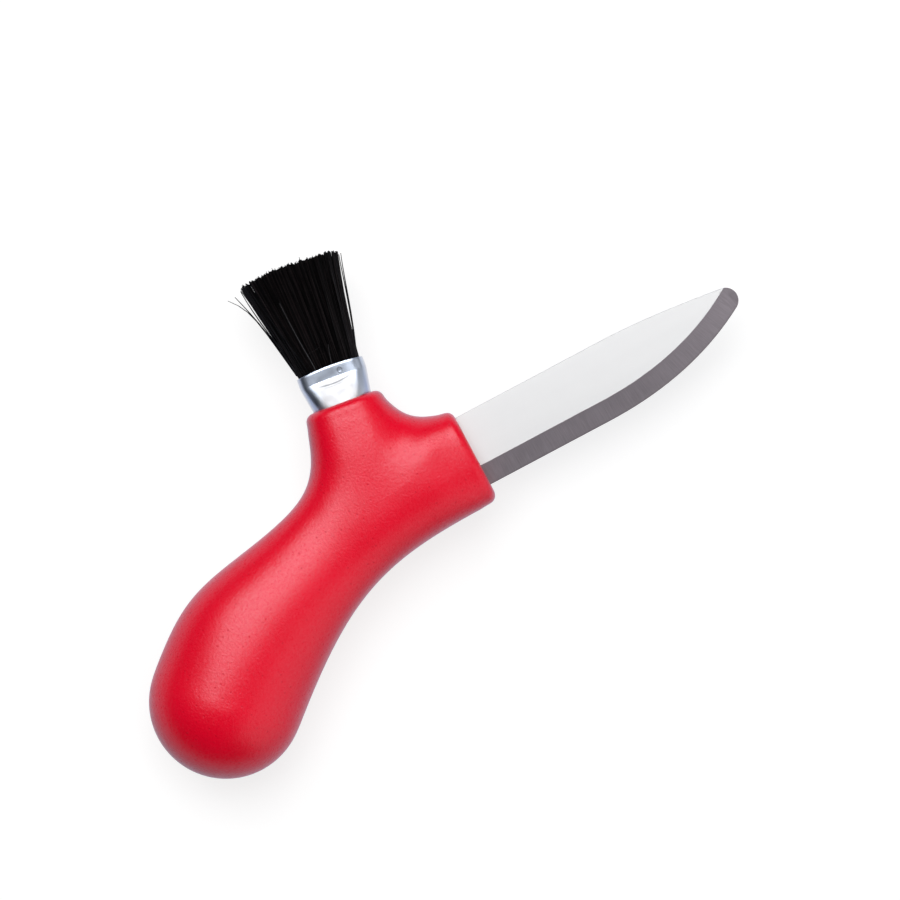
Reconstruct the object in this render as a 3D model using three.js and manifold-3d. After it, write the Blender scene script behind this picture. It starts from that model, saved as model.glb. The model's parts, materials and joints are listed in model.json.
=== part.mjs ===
// A mushroom knife: a short curved blade and a stiff cleaning brush, both held by one moulded
// palm handle. Millimetres, +Z up. The knife lies on its side: the blade runs along +X with its
// spine towards +Y, and the origin is under the middle of the knife, on the surface it lies on.
import * as THREE from "three";
import { mergeVertices } from "three/addons/utils/BufferGeometryUtils.js";
import Module from "manifold-3d";

const wasm = await Module();
wasm.setup();
const { Manifold, Mesh: SolidMesh } = wasm;
const { degToRad: radians, lerp } = THREE.MathUtils;

// Blade. Its axis is the X axis at half its height, and x = 0 is the bolster's front face.
const BLADE_LENGTH = 68.15;
const BLADE_HEIGHT = 16.7;
const BLADE_THICKNESS = 2;
const SPINE_STRAIGHT = 37; // the spine is straight this far, then falls to the tip
const SPINE_FALL = 2.3;
const EDGE_STRAIGHT = 30; // the edge is straight this far, then sweeps up to the tip
const EDGE_RISE = radians(30); // slope of the edge where it meets the rounded tip
const TIP_RADIUS = 2.85;
const BEVEL_WIDTH = 4.75;
const EDGE_LAND = 0.1; // thickness left at the cutting edge
const ROOT_DEPTH = 6; // full-height blade hidden in the bolster
const TANG_LENGTH = 44; // from the bolster's face to the tang's end
const ROOT_RELIEF = 0.1; // hidden root and tang are this much thinner on each face
const TANG_HEIGHT = 9;
const TANG_SLOPE = radians(8); // the tang dips towards the grip
const TANG_HOLE_RADIUS = 2.2; // moulded plastic runs through this hole and locks the tang

// Handle, in plan. Distances run from the bolster's face and the blade's axis.
const GRIP_REACH = 74.6; // back to the bulb's centre
const GRIP_DROP = 23.4; // down to the bulb's centre
const BULB_RADIUS = 17.2;
const BULB_THICKNESS = 27.8;
const BULB_SWELL = 1.3; // above 1, the bulb stays thick further along the grip
const BUTT_ANGLE = radians(41.2); // slope of the grip's centreline at the bulb
const NECK_ANGLE = radians(15); // and where it meets the collar's axis
const NECK_THICKNESS = 19.5;
const JUNCTION_SETBACK = 23.6; // the collar's axis crosses the blade's axis here
const JUNCTION_REACH = 10; // size of the flat where grip, bolster and collar run together
const BACK_REACH = 57.6; // the back turns from bulging to hollow here
const BACK_HEIGHT = 3.6;
const BACK_ANGLE = radians(9.5);
const BOLSTER_ABOVE = 2.2; // plastic above the spine
const BOLSTER_BELOW = 3.8; // plastic below the edge
const BOLSTER_CHEEK = 7.3; // plastic each side of the blade
const BOLSTER_CREST = 2; // the bolster is thickest this far above the blade's axis
const COLLAR_LENGTH = 23.4;
const COLLAR_ANGLE = radians(82.5);
const COLLAR_WALL = 2.35;
const COLLAR_FLARE = radians(9.6); // lean of the collar's back wall
const SADDLE_ANGLE = radians(81); // slopes of the hollow between collar and bolster
const LIP_ANGLE = radians(9.6);
const MOUTH_RADIUS = 2; // rounding of the bolster's and the collar's front edges
const BULB_FULLNESS = 2; // squareness of the cross-sections: 2 makes true ellipses
const JUNCTION_FULLNESS = 2.45;
const MOUTH_FULLNESS = 2.75;

// Brush. Its own frame has +Y out along the collar's axis, and y = 0 is the collar's face.
const FERRULE_RADIUS = 6.55;
const FERRULE_WALL = 0.4;
const FERRULE_EXPOSED = 8.1;
const FERRULE_DEPTH = 14; // length seated in the collar
const FERRULE_FULLNESS = 2.7; // squareness of the flattened mouth
const FERRULE_MOUTH_WIDTH = 15.5;
const FERRULE_MOUTH_THICKNESS = 10;
const CRIMP_BAND = 2.1; // pressed band below the mouth
const CRIMP_DEPTH = 0.45;
const DIMPLE_RADIUS = 0.9; // staking mark in the crimped band
const DIMPLE_DEPTH = 0.22;
const DIMPLE_OFFSET = 2;
const SETTING_BELOW_MOUTH = 2.4; // the bristles' resin stops here
const TUFT_COUNT = 4;
const TUFT_BASE = 2; // thickness of the resin slice each tuft stands in
const BRISTLE_LENGTH = 24; // beyond the ferrule's mouth
const BRISTLE_PITCH = 0.47;
const BRISTLE_MARGIN = 0.3; // roots keep this far from the sides of their resin
const BRISTLE_RADIUS = 0.17;
const BRISTLE_TIP_RADIUS = 0.12;
const FAN_WIDTH = 22.8; // across the bristle tips
const FAN_THICKNESS = 10.6;
const FAN_CROWN = 0.9; // the tips' line bulges by this much
const TIP_RAGGEDNESS = 0.9; // how far the bristle ends differ in length

// Fits.
const MOULD_GAP = 0.3; // between the plastic and the metal it is moulded round
const BRUSH_GAP = 0.3; // between ferrule, resin and tufts

// Fineness of the facets.
const RIB_STEPS = 10;
const BUTT_STEPS = 22;
const TRUNK_STEPS = 15;
const BLEND_STEPS = 7;
const BRANCH_STEPS = 5;
const MOUTH_STEPS = 4;
const CURVE_STEPS = 18;
const FERRULE_SIDES = 40;
const ROUND_SIDES = 32;
const STRAND_SIDES = 3;
const WELD = 1e-4;
const CUT_MARGIN = 1;

// Solids and geometry

function solidFrom(geometry) {
  const bare = new THREE.BufferGeometry();
  bare.setAttribute("position", geometry.getAttribute("position"));
  bare.setIndex(geometry.getIndex());
  const welded = mergeVertices(bare, WELD);
  return new Manifold(
    new SolidMesh({
      numProp: 3,
      vertProperties: welded.getAttribute("position").array,
      triVerts: new Uint32Array(welded.getIndex().array),
    }),
  );
}

function geometryFrom(solid) {
  const mesh = solid.getMesh();
  const geometry = new THREE.BufferGeometry();
  geometry.setAttribute("position", new THREE.BufferAttribute(mesh.vertProperties, mesh.numProp));
  geometry.setIndex(new THREE.BufferAttribute(mesh.triVerts, 1));
  geometry.computeVertexNormals();
  return geometry;
}

function part(name, solid, look) {
  const mesh = new THREE.Mesh(geometryFrom(solid), new THREE.MeshStandardMaterial(look));
  mesh.name = name;
  return mesh;
}

// Collects triangles and quads, seen anticlockwise from outside, into one closed surface.
class Facets {
  constructor() {
    this.points = [];
  }
  triangle(a, b, c) {
    const distinct = !a.equals(b) && !b.equals(c) && !c.equals(a);
    if (distinct) {
      this.points.push(a, b, c);
    }
  }
  quad(a, b, c, d) {
    this.triangle(a, b, c);
    this.triangle(a, c, d);
  }
  solid() {
    return solidFrom(new THREE.BufferGeometry().setFromPoints(this.points));
  }
}

// A solid through a row of rings. Capped, it is a rod. Otherwise the last ring meets the first.
function loft(rings, capped = true) {
  const facets = new Facets();
  const sides = rings[0].length;
  const spans = capped ? rings.length - 1 : rings.length;
  for (let i = 0; i < spans; i++) {
    const near = rings[i];
    const far = rings[(i + 1) % rings.length];
    for (let k = 0; k < sides; k++) {
      const next = (k + 1) % sides;
      facets.quad(near[k], near[next], far[next], far[k]);
    }
  }
  for (let k = 1; capped && k < sides - 1; k++) {
    const last = rings.at(-1);
    facets.triangle(rings[0][0], rings[0][k + 1], rings[0][k]);
    facets.triangle(last[0], last[k], last[k + 1]);
  }
  return facets.solid();
}

function plate(shape, thickness) {
  const options = { depth: thickness, bevelEnabled: false, curveSegments: CURVE_STEPS };
  return solidFrom(new THREE.ExtrudeGeometry(shape, options).translate(0, 0, -thickness / 2));
}

// Plan geometry

function heading(angle, length = 1) {
  return new THREE.Vector2(Math.cos(angle), Math.sin(angle)).multiplyScalar(length);
}

// A curve that leaves one point on one heading and arrives at another point on another heading.
// The pulls are the lengths of its handles as shares of the straight distance.
function bend(from, fromAngle, to, toAngle, fromPull, toPull) {
  const span = from.distanceTo(to);
  const leave = from.clone().add(heading(fromAngle, span * fromPull));
  const arrive = to.clone().sub(heading(toAngle, span * toPull));
  return new THREE.CubicBezierCurve(from, leave, arrive, to);
}

// Goes from 0 to 1 with no slope at either end.
function ease(share) {
  return (1 - Math.cos(Math.PI * share)) / 2;
}

// One point of a rounded outline: fullness 2 makes an ellipse, and more makes it squarer.
function roundPoint(angle, halfWidth, halfHeight, fullness) {
  const power = 2 / fullness;
  const x = Math.sign(Math.cos(angle)) * Math.abs(Math.cos(angle)) ** power;
  const y = Math.sign(Math.sin(angle)) * Math.abs(Math.sin(angle)) ** power;
  return new THREE.Vector2(halfWidth * x, halfHeight * y);
}

// Blade

const halfHeight = BLADE_HEIGHT / 2;
const tipCentre = new THREE.Vector2(
  BLADE_LENGTH - TIP_RADIUS,
  halfHeight - SPINE_FALL - TIP_RADIUS,
);
const edgeEnd = tipCentre.clone().add(heading(EDGE_RISE - Math.PI / 2, TIP_RADIUS));
const edgeStart = new THREE.Vector2(EDGE_STRAIGHT, -halfHeight);
const edgeCorner = new THREE.Vector2(
  edgeEnd.x - (edgeEnd.y - edgeStart.y) / Math.tan(EDGE_RISE),
  -halfHeight,
);
const edgeSweep = new THREE.QuadraticBezierCurve(edgeStart, edgeCorner, edgeEnd);

const tangRoot = new THREE.Vector2(-ROOT_DEPTH, -halfHeight / 4);
const tangBack = heading(Math.PI + TANG_SLOPE);
const tangUp = heading(Math.PI / 2 + TANG_SLOPE);
const tangHub = tangRoot
  .clone()
  .addScaledVector(tangBack, TANG_LENGTH - ROOT_DEPTH - TANG_HEIGHT / 2);

// Tang as a strip with a round end and a locking hole, larger all round by the growth.
function tangShape(growth) {
  const half = TANG_HEIGHT / 2 + growth;
  const start = tangRoot.clone().addScaledVector(tangBack, -ROOT_DEPTH / 2);
  const top = start.clone().addScaledVector(tangUp, half);
  const bottom = start.clone().addScaledVector(tangUp, -half);
  const up = Math.PI / 2 + TANG_SLOPE;
  const shape = new THREE.Shape().moveTo(bottom.x, bottom.y);
  shape.lineTo(top.x, top.y);
  shape.absarc(tangHub.x, tangHub.y, half, up, up + Math.PI, false);
  shape.closePath();
  const hole = new THREE.Path();
  hole.absarc(tangHub.x, tangHub.y, TANG_HOLE_RADIUS - growth, 0, 2 * Math.PI, true);
  shape.holes.push(hole);
  return shape;
}

// Hidden root and tang as plates, larger all round by the growth.
function hiddenSteel(growth) {
  const back = -ROOT_DEPTH - growth;
  const half = halfHeight + growth;
  const root = new THREE.Shape().moveTo(back, -half);
  root.lineTo(CUT_MARGIN, -half);
  root.lineTo(CUT_MARGIN, half);
  root.lineTo(back, half);
  root.closePath();
  const thickness = BLADE_THICKNESS + 2 * growth;
  return plate(root, thickness).add(plate(tangShape(growth), thickness));
}

// The part of the blade that shows.
function bladeShape() {
  const fall = Math.atan2(SPINE_FALL, tipCentre.x - SPINE_STRAIGHT);
  const spineCorner = lerp(SPINE_STRAIGHT, tipCentre.x, 0.4);
  const shape = new THREE.Shape().moveTo(0, -halfHeight);
  shape.lineTo(edgeStart.x, edgeStart.y);
  shape.quadraticCurveTo(edgeCorner.x, edgeCorner.y, edgeEnd.x, edgeEnd.y);
  shape.absarc(tipCentre.x, tipCentre.y, TIP_RADIUS, EDGE_RISE - Math.PI / 2, Math.PI / 2 - fall);
  shape.quadraticCurveTo(spineCorner, halfHeight, SPINE_STRAIGHT, halfHeight);
  shape.lineTo(0, halfHeight);
  return shape.closePath();
}

// The wedge that grinding takes off one face: side is 1 above and -1 below.
function grindingCut(side, growth) {
  const slope = (BLADE_THICKNESS - EDGE_LAND) / 2 / BEVEL_WIDTH;
  const rise = (inset) => EDGE_LAND / 2 + growth + slope * (inset + growth);
  const outer = -CUT_MARGIN - growth;
  const inner = BEVEL_WIDTH + CUT_MARGIN;
  const section = [
    [outer, rise(outer)],
    [inner, rise(inner)],
    [outer, rise(inner)],
  ];
  const run = [new THREE.Vector2(-ROOT_DEPTH + growth, -halfHeight)];
  run.push(...edgeSweep.getPoints(CURVE_STEPS));
  run.push(edgeEnd.clone().add(heading(EDGE_RISE, BEVEL_WIDTH + TIP_RADIUS)));
  const rings = run.map((point, i) => {
    const share = THREE.MathUtils.clamp((i - 1) / CURVE_STEPS, 0, 1);
    const tangent = edgeSweep.getTangent(share);
    const inward = new THREE.Vector2(-tangent.y, tangent.x);
    const ring = section.map(([inset, height]) => {
      const plan = point.clone().addScaledVector(inward, inset);
      return new THREE.Vector3(plan.x, plan.y, side * height);
    });
    return side > 0 ? ring : ring.reverse();
  });
  return loft(rings);
}

function bladeSolid() {
  return plate(bladeShape(), BLADE_THICKNESS)
    .add(hiddenSteel(-ROOT_RELIEF))
    .subtract(grindingCut(1, 0))
    .subtract(grindingCut(-1, 0));
}

// The hollow that the hidden steel leaves in the plastic.
function bladeHollow() {
  return hiddenSteel(MOULD_GAP)
    .subtract(grindingCut(1, MOULD_GAP))
    .subtract(grindingCut(-1, MOULD_GAP));
}

// Handle

const bulbCentre = new THREE.Vector2(-GRIP_REACH, -GRIP_DROP);
const junction = new THREE.Vector2(-JUNCTION_SETBACK, 0);
const collarAxis = heading(COLLAR_ANGLE);
const collarFace = junction.clone().addScaledVector(collarAxis, COLLAR_LENGTH);
const collarRadius = FERRULE_RADIUS + MOULD_GAP + COLLAR_WALL;
const bolsterTop = halfHeight + BOLSTER_ABOVE;
const bolsterBottom = -halfHeight - BOLSTER_BELOW;
const bolsterRim = new THREE.Vector2(-MOUTH_RADIUS, BOLSTER_CREST);

// The outline's three sides. The butt's half circle joins the belly to the back.
const bellyStart = bulbCentre.clone().add(heading(BUTT_ANGLE - Math.PI / 2, BULB_RADIUS));
const bellyEnd = new THREE.Vector2(-MOUTH_RADIUS, bolsterBottom);
const belly = bend(bellyStart, BUTT_ANGLE, bellyEnd, 0, 0.5, 0.41);

const collarBack = heading(COLLAR_ANGLE + Math.PI / 2, collarRadius);
const collarRim = collarFace.clone().addScaledVector(collarAxis, -MOUTH_RADIUS);
const backStart = bulbCentre.clone().add(heading(BUTT_ANGLE + Math.PI / 2, BULB_RADIUS));
const backTurn = new THREE.Vector2(-BACK_REACH, BACK_HEIGHT);
const backEnd = collarRim.clone().add(collarBack);
const back = new THREE.CurvePath();
back.add(bend(backStart, BUTT_ANGLE, backTurn, BACK_ANGLE, 0.49, 0.42));
back.add(bend(backTurn, BACK_ANGLE, backEnd, COLLAR_ANGLE - COLLAR_FLARE, 0.64, 0.41));

const saddleStart = new THREE.Vector2(-MOUTH_RADIUS, bolsterTop);
const saddleEnd = collarRim.clone().sub(collarBack);
const saddle = bend(
  saddleStart,
  Math.PI - LIP_ANGLE,
  saddleEnd,
  Math.PI - SADDLE_ANGLE,
  0.36,
  0.45,
);

// The ridge is the crest of the skin above the plan's centreline: a trunk from the bulb that
// splits towards the bolster and the collar round a small flat, where its height is level.
const trunk = bend(bulbCentre, BUTT_ANGLE, junction, NECK_ANGLE, 0.5, 0.5);
const trunkShare = 1 - JUNCTION_REACH / trunk.getLength();

function crest(plan, halfThickness, fullness) {
  return { plan, halfThickness, fullness };
}

// Crests from the flat out to the middle of a mouth's rim, where its edge starts to round over.
function branchCrests(rim, rimHalfThickness) {
  const start = JUNCTION_REACH / junction.distanceTo(rim);
  return Array.from({ length: BRANCH_STEPS + 1 }, (_, i) => {
    const share = i / BRANCH_STEPS;
    const plan = junction.clone().lerp(rim, lerp(start, 1, share));
    const halfThickness = lerp(NECK_THICKNESS / 2, rimHalfThickness, ease(share));
    return crest(plan, halfThickness, lerp(JUNCTION_FULLNESS, MOUTH_FULLNESS, ease(share)));
  });
}

const trunkCrests = Array.from({ length: TRUNK_STEPS + 1 }, (_, i) => {
  const share = i / TRUNK_STEPS;
  const plan = trunk.getPointAt(share * trunkShare);
  const halfThickness = lerp(BULB_THICKNESS, NECK_THICKNESS, ease(share ** BULB_SWELL)) / 2;
  return crest(plan, halfThickness, lerp(BULB_FULLNESS, JUNCTION_FULLNESS, ease(share)));
});
const bolsterHalf = BLADE_THICKNESS / 2 + BOLSTER_CHEEK;
const bolsterCrests = branchCrests(bolsterRim, bolsterHalf);
const collarCrests = branchCrests(collarRim, collarRadius);

// Crests round the flat, from the end of one limb to the start of the next.
function blendCrests(from, to) {
  const arc = new THREE.QuadraticBezierCurve(from.plan, junction, to.plan);
  const level = NECK_THICKNESS / 2;
  return arc.getPoints(BLEND_STEPS).map((plan) => crest(plan, level, JUNCTION_FULLNESS));
}

const toBolster = blendCrests(trunkCrests.at(-1), bolsterCrests[0]);
const toCollar = blendCrests(bolsterCrests[0], collarCrests[0]);
const toTrunk = blendCrests(collarCrests[0], trunkCrests.at(-1));

// A rib is a quarter of a cross-section, from the outline up to the crest.
function rib(outline, { plan, halfThickness, fullness }) {
  const reach = outline.clone().sub(plan);
  return Array.from({ length: RIB_STEPS + 1 }, (_, k) => {
    const point = roundPoint((k / RIB_STEPS) * (Math.PI / 2), 1, halfThickness, fullness);
    if (k === RIB_STEPS) {
      point.x = 0;
    }
    if (k === 0) {
      point.y = 0;
    }
    return new THREE.Vector3(plan.x + reach.x * point.x, plan.y + reach.y * point.x, point.y);
  });
}

// Ribs from one side's outline to the crests beside it, spaced alike along both.
function sideRibs(side, crests) {
  const travelled = [0];
  for (let i = 1; i < crests.length; i++) {
    travelled.push(travelled[i - 1] + crests[i].plan.distanceTo(crests[i - 1].plan));
  }
  return crests.map((top, i) => rib(side.getPointAt(travelled[i] / travelled.at(-1)), top));
}

// Ribs that round a mouth's edge over from its side to its flat face.
function mouthRibs(outline, last, axis) {
  const inward = last.plan.clone().sub(outline).normalize();
  return Array.from({ length: MOUTH_STEPS }, (_, i) => {
    const turn = ((i + 1) / MOUTH_STEPS) * (Math.PI / 2);
    const forward = axis.clone().multiplyScalar(MOUTH_RADIUS * Math.sin(turn));
    const inset = MOUTH_RADIUS * (1 - Math.cos(turn));
    const edge = outline.clone().add(forward).addScaledVector(inward, inset);
    const top = crest(last.plan.clone().add(forward), last.halfThickness - inset, last.fullness);
    return rib(edge, top);
  });
}

function handleSkin() {
  const facets = new Facets();
  const mirrored = (point) => new THREE.Vector3(point.x, point.y, -point.z);
  const bothFaces = (a, b, c) => {
    facets.triangle(a, b, c);
    facets.triangle(mirrored(a), mirrored(c), mirrored(b));
  };

  const bladeAxis = new THREE.Vector2(1, 0);
  const butt = Array.from({ length: BUTT_STEPS + 1 }, (_, i) => {
    const angle = BUTT_ANGLE + Math.PI / 2 + (i / BUTT_STEPS) * Math.PI;
    return rib(bulbCentre.clone().add(heading(angle, BULB_RADIUS)), trunkCrests[0]);
  });
  const bellyRibs = sideRibs(belly, [
    ...trunkCrests,
    ...toBolster.slice(1, -1),
    ...bolsterCrests,
  ]);
  const saddleRibs = sideRibs(saddle, [
    ...bolsterCrests.toReversed(),
    ...toCollar.slice(1, -1),
    ...collarCrests,
  ]);
  const backRibs = sideRibs(back, [
    ...trunkCrests,
    ...toTrunk.slice(1, -1).reverse(),
    ...collarCrests,
  ]);
  const bolsterMouth = [
    mouthRibs(bellyEnd, bolsterCrests.at(-1), bladeAxis),
    mouthRibs(saddleStart, bolsterCrests.at(-1), bladeAxis),
  ];
  const collarMouth = [
    mouthRibs(saddleEnd, collarCrests.at(-1), collarAxis),
    mouthRibs(backEnd, collarCrests.at(-1), collarAxis),
  ];

  // The skin runs anticlockwise: belly, bolster, saddle, collar, back and butt.
  const runs = [
    [...bellyRibs, ...bolsterMouth[0]],
    [...bolsterMouth[1].toReversed(), ...saddleRibs, ...collarMouth[0]],
    [...collarMouth[1].toReversed(), ...backRibs.toReversed(), ...butt.slice(1)],
  ];
  for (const ribs of runs) {
    for (let i = 0; i + 1 < ribs.length; i++) {
      for (let k = 0; k < RIB_STEPS; k++) {
        bothFaces(ribs[i][k], ribs[i + 1][k], ribs[i + 1][k + 1]);
        bothFaces(ribs[i][k], ribs[i + 1][k + 1], ribs[i][k + 1]);
      }
    }
  }

  // Flat faces of the two mouths.
  for (const [first, second] of [bolsterMouth, collarMouth]) {
    const centre = first.at(-1)[RIB_STEPS].clone().setZ(0);
    const rim = [...first.at(-1), ...second.at(-1).toReversed().slice(1)];
    for (let k = 0; k + 1 < rim.length; k++) {
      bothFaces(centre, rim[k + 1], rim[k]);
    }
  }

  // The flat at the junction.
  const flat = [...toBolster.slice(0, -1), ...toCollar.slice(0, -1), ...toTrunk.slice(0, -1)];
  const plans = flat.map((point) => point.plan);
  const level = plans.map((plan) => new THREE.Vector3(plan.x, plan.y, NECK_THICKNESS / 2));
  for (const [a, b, c] of THREE.ShapeUtils.triangulateShape(plans, [])) {
    bothFaces(level[a], level[b], level[c]);
  }
  return facets.solid();
}

// Brush

// Half width, half thickness and squareness of the ferrule's outside at a height above the collar.
function ferruleSize(height) {
  const crease = FERRULE_EXPOSED - CRIMP_BAND;
  const share = ease(THREE.MathUtils.clamp(height / crease, 0, 1));
  return {
    halfWidth: lerp(FERRULE_RADIUS, FERRULE_MOUTH_WIDTH / 2, share),
    halfThickness: lerp(FERRULE_RADIUS, FERRULE_MOUTH_THICKNESS / 2, share),
    fullness: lerp(2, FERRULE_FULLNESS, share),
  };
}

// One ring of the ferrule's wall, inset from its outside, with the crimp pressed into its flats.
function ferruleRing(height, inset, pressed) {
  const { halfWidth, halfThickness, fullness } = ferruleSize(height);
  return Array.from({ length: FERRULE_SIDES }, (_, k) => {
    const angle = (-k / FERRULE_SIDES) * 2 * Math.PI;
    const point = roundPoint(angle, halfWidth - inset, halfThickness - inset, fullness);
    const flatShare = 1 - Math.min(1, Math.abs(point.x) / halfWidth) ** 4;
    const press = pressed ? CRIMP_DEPTH * flatShare * Math.sin(angle) : 0;
    return new THREE.Vector3(point.x, height, point.y - press);
  });
}

function ferruleSolid() {
  const crease = FERRULE_EXPOSED - CRIMP_BAND;
  const steps = Array.from({ length: BRANCH_STEPS + 1 }, (_, i) => (i / BRANCH_STEPS) * crease);
  const levels = [
    [-FERRULE_DEPTH, false],
    ...steps.map((height) => [height, false]),
    [crease + FERRULE_WALL, true],
    [FERRULE_EXPOSED, true],
  ];
  const outside = levels.map(([height, pressed]) => ferruleRing(height, 0, pressed));
  const inside = levels.map(([height, pressed]) => ferruleRing(height, FERRULE_WALL, pressed));
  const tube = loft([...outside, ...inside.reverse()], false);

  // The staking mark is a shallow cap of a larger ball, pressed into the upper flat of the band.
  const ballRadius = (DIMPLE_RADIUS ** 2 + DIMPLE_DEPTH ** 2) / (2 * DIMPLE_DEPTH);
  const bandFace = FERRULE_MOUTH_THICKNESS / 2 - CRIMP_DEPTH;
  const ball = new THREE.SphereGeometry(ballRadius, ROUND_SIDES, ROUND_SIDES / 2);
  ball.translate(
    DIMPLE_OFFSET,
    FERRULE_EXPOSED - CRIMP_BAND / 2,
    bandFace + ballRadius - DIMPLE_DEPTH,
  );
  return tube.subtract(solidFrom(ball));
}

// Resin that fills the ferrule below the tufts.
const tuftTop = FERRULE_EXPOSED - SETTING_BELOW_MOUTH;
const tuftBottom = tuftTop - TUFT_BASE;

function settingSolid() {
  const inset = FERRULE_WALL + BRUSH_GAP;
  const top = tuftBottom - BRUSH_GAP;
  const levels = [-FERRULE_DEPTH + BRUSH_GAP];
  for (let i = 0; i <= BRANCH_STEPS; i++) {
    levels.push((i / BRANCH_STEPS) * top);
  }
  return loft(levels.map((height) => ferruleRing(height, inset, false)));
}

// Room for the bristles' roots: as wide as the ferrule allows at the tufts' foot, and as thick as
// the crimp allows at the mouth.
const rootRoom = {
  halfWidth: ferruleSize(tuftBottom).halfWidth - FERRULE_WALL - BRUSH_GAP,
  halfThickness: FERRULE_MOUTH_THICKNESS / 2 - CRIMP_DEPTH - FERRULE_WALL - BRUSH_GAP,
};

const rootReach = {
  halfWidth: rootRoom.halfWidth - BRISTLE_MARGIN,
  halfThickness: rootRoom.halfThickness - BRISTLE_MARGIN,
};

// One bristle as a tapering rod that leaves its root straight and leans out with the fan.
function bristle(root, seed) {
  const outX = root.x / rootReach.halfWidth;
  const outZ = root.y / rootReach.halfThickness;
  const ragged = TIP_RAGGEDNESS * (THREE.MathUtils.seededRandom(seed) - 0.5);
  const turn = THREE.MathUtils.seededRandom(seed + 0.5) * Math.PI;
  const length = FERRULE_EXPOSED + BRISTLE_LENGTH - tuftTop - FAN_CROWN * outX ** 2 + ragged;
  const stations = [
    [-TUFT_BASE / 4, 0, BRISTLE_RADIUS],
    [length / 2, 0.46, lerp(BRISTLE_RADIUS, BRISTLE_TIP_RADIUS, 0.5)],
    [length, 1, BRISTLE_TIP_RADIUS],
  ];
  const rings = stations.map(([height, spread, radius]) => {
    const x = lerp(root.x, (outX * FAN_WIDTH) / 2, spread);
    const z = lerp(root.y, (outZ * FAN_THICKNESS) / 2, spread);
    return Array.from({ length: STRAND_SIDES }, (_, k) => {
      const corner = heading(turn - (k / STRAND_SIDES) * 2 * Math.PI, radius);
      return new THREE.Vector3(x + corner.x, tuftTop + height, z + corner.y);
    });
  });
  return loft(rings);
}

// Outline of the root room between two distances from the brush's middle.
function sliceOutline(left, right) {
  const angleAt = (x) => {
    const share = x / rootRoom.halfWidth;
    return Math.acos(Math.sign(share) * Math.min(1, Math.abs(share)) ** (FERRULE_FULLNESS / 2));
  };
  const upper = Array.from({ length: RIB_STEPS + 1 }, (_, i) => {
    const angle = lerp(angleAt(left), angleAt(right), i / RIB_STEPS);
    const point = roundPoint(angle, rootRoom.halfWidth, rootRoom.halfThickness, FERRULE_FULLNESS);
    return point.setY(Math.max(point.y, BRISTLE_MARGIN));
  });
  return [...upper, ...upper.toReversed().map((point) => new THREE.Vector2(point.x, -point.y))];
}

// One tuft: a slice of resin across the ferrule with its share of the bristles standing in it.
function tuftSolid(index) {
  const width = (2 * rootRoom.halfWidth - (TUFT_COUNT - 1) * BRUSH_GAP) / TUFT_COUNT;
  const left = -rootRoom.halfWidth + index * (width + BRUSH_GAP);
  const outline = sliceOutline(left, left + width);
  const levels = [tuftBottom, tuftTop];
  const foot = levels.map((height) => outline.map((p) => new THREE.Vector3(p.x, height, p.y)));
  const solids = [loft(foot)];

  const room = width - 2 * BRISTLE_MARGIN;
  const columns = Math.floor(room / (BRISTLE_PITCH * Math.sin(Math.PI / 3))) + 1;
  for (let column = 0; column < columns; column++) {
    const x = left + BRISTLE_MARGIN + (column / (columns - 1)) * room;
    const across = Math.min(1, Math.abs(x) / rootReach.halfWidth) ** FERRULE_FULLNESS;
    const reach = rootReach.halfThickness * (1 - across) ** (1 / FERRULE_FULLNESS);
    const shift = ((column + index) % 2) / 2;
    const rows = Math.ceil(reach / BRISTLE_PITCH);
    for (let row = -rows; row <= rows; row++) {
      const z = (row + shift) * BRISTLE_PITCH;
      if (Math.abs(z) <= reach) {
        solids.push(bristle(new THREE.Vector2(x, z), 1 + row + 100 * column + 10000 * index));
      }
    }
  }
  return Manifold.union(solids);
}

// Assembly

const redPlastic = { color: 0xd81e32, roughness: 0.42, metalness: 0 };
const bladeSteel = { color: 0xc9c9cc, roughness: 0.32, metalness: 1 };
const ferruleMetal = { color: 0xd6d6d4, roughness: 0.2, metalness: 1 };
const resin = { color: 0x3a322c, roughness: 0.6, metalness: 0 };
const blackBristle = { color: 0x17120f, roughness: 0.55, metalness: 0 };

const socketDepth = FERRULE_DEPTH + MOULD_GAP;
const socket = new THREE.CylinderGeometry(
  FERRULE_RADIUS + MOULD_GAP,
  FERRULE_RADIUS + MOULD_GAP,
  socketDepth + CUT_MARGIN,
  FERRULE_SIDES,
);
socket.translate(0, (CUT_MARGIN - socketDepth) / 2, 0);

const brush = new THREE.Group();
brush.name = "brush";
brush.position.set(collarFace.x, collarFace.y, 0);
brush.rotation.z = COLLAR_ANGLE - Math.PI / 2;
brush.updateMatrix();
brush.add(part("ferrule", ferruleSolid(), ferruleMetal));
brush.add(part("bristle_setting", settingSolid(), resin));
for (let i = 0; i < TUFT_COUNT; i++) {
  brush.add(part(`bristle_tuft_${i + 1}`, tuftSolid(i), blackBristle));
}

const handle = handleSkin()
  .subtract(bladeHollow())
  .subtract(solidFrom(socket.applyMatrix4(brush.matrix)));

const knife = new THREE.Group();
knife.name = "knife";
knife.add(part("handle", handle, redPlastic));
knife.add(part("blade", bladeSolid(), bladeSteel));
knife.add(brush);

// The knife lies on the bulb with its box centred over the origin.
const box = new THREE.Box3().setFromObject(knife, true);
const middle = box.getCenter(new THREE.Vector3());
knife.position.set(-middle.x, -middle.y, -box.min.z);

const group = new THREE.Group();
group.name = "mushroom_knife";
group.add(knife);
group.updateMatrixWorld(true);

export default group;
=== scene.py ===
"""A mushroom knife: a moulded red handle, a fixed curved blade and a brush in a crimped ferrule."""

import sys

import json
import logging
import math
from dataclasses import dataclass, field
from enum import Enum
from typing import Any, Callable

import bmesh
import bpy
import numpy as np
from mathutils import Matrix, Vector

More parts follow.
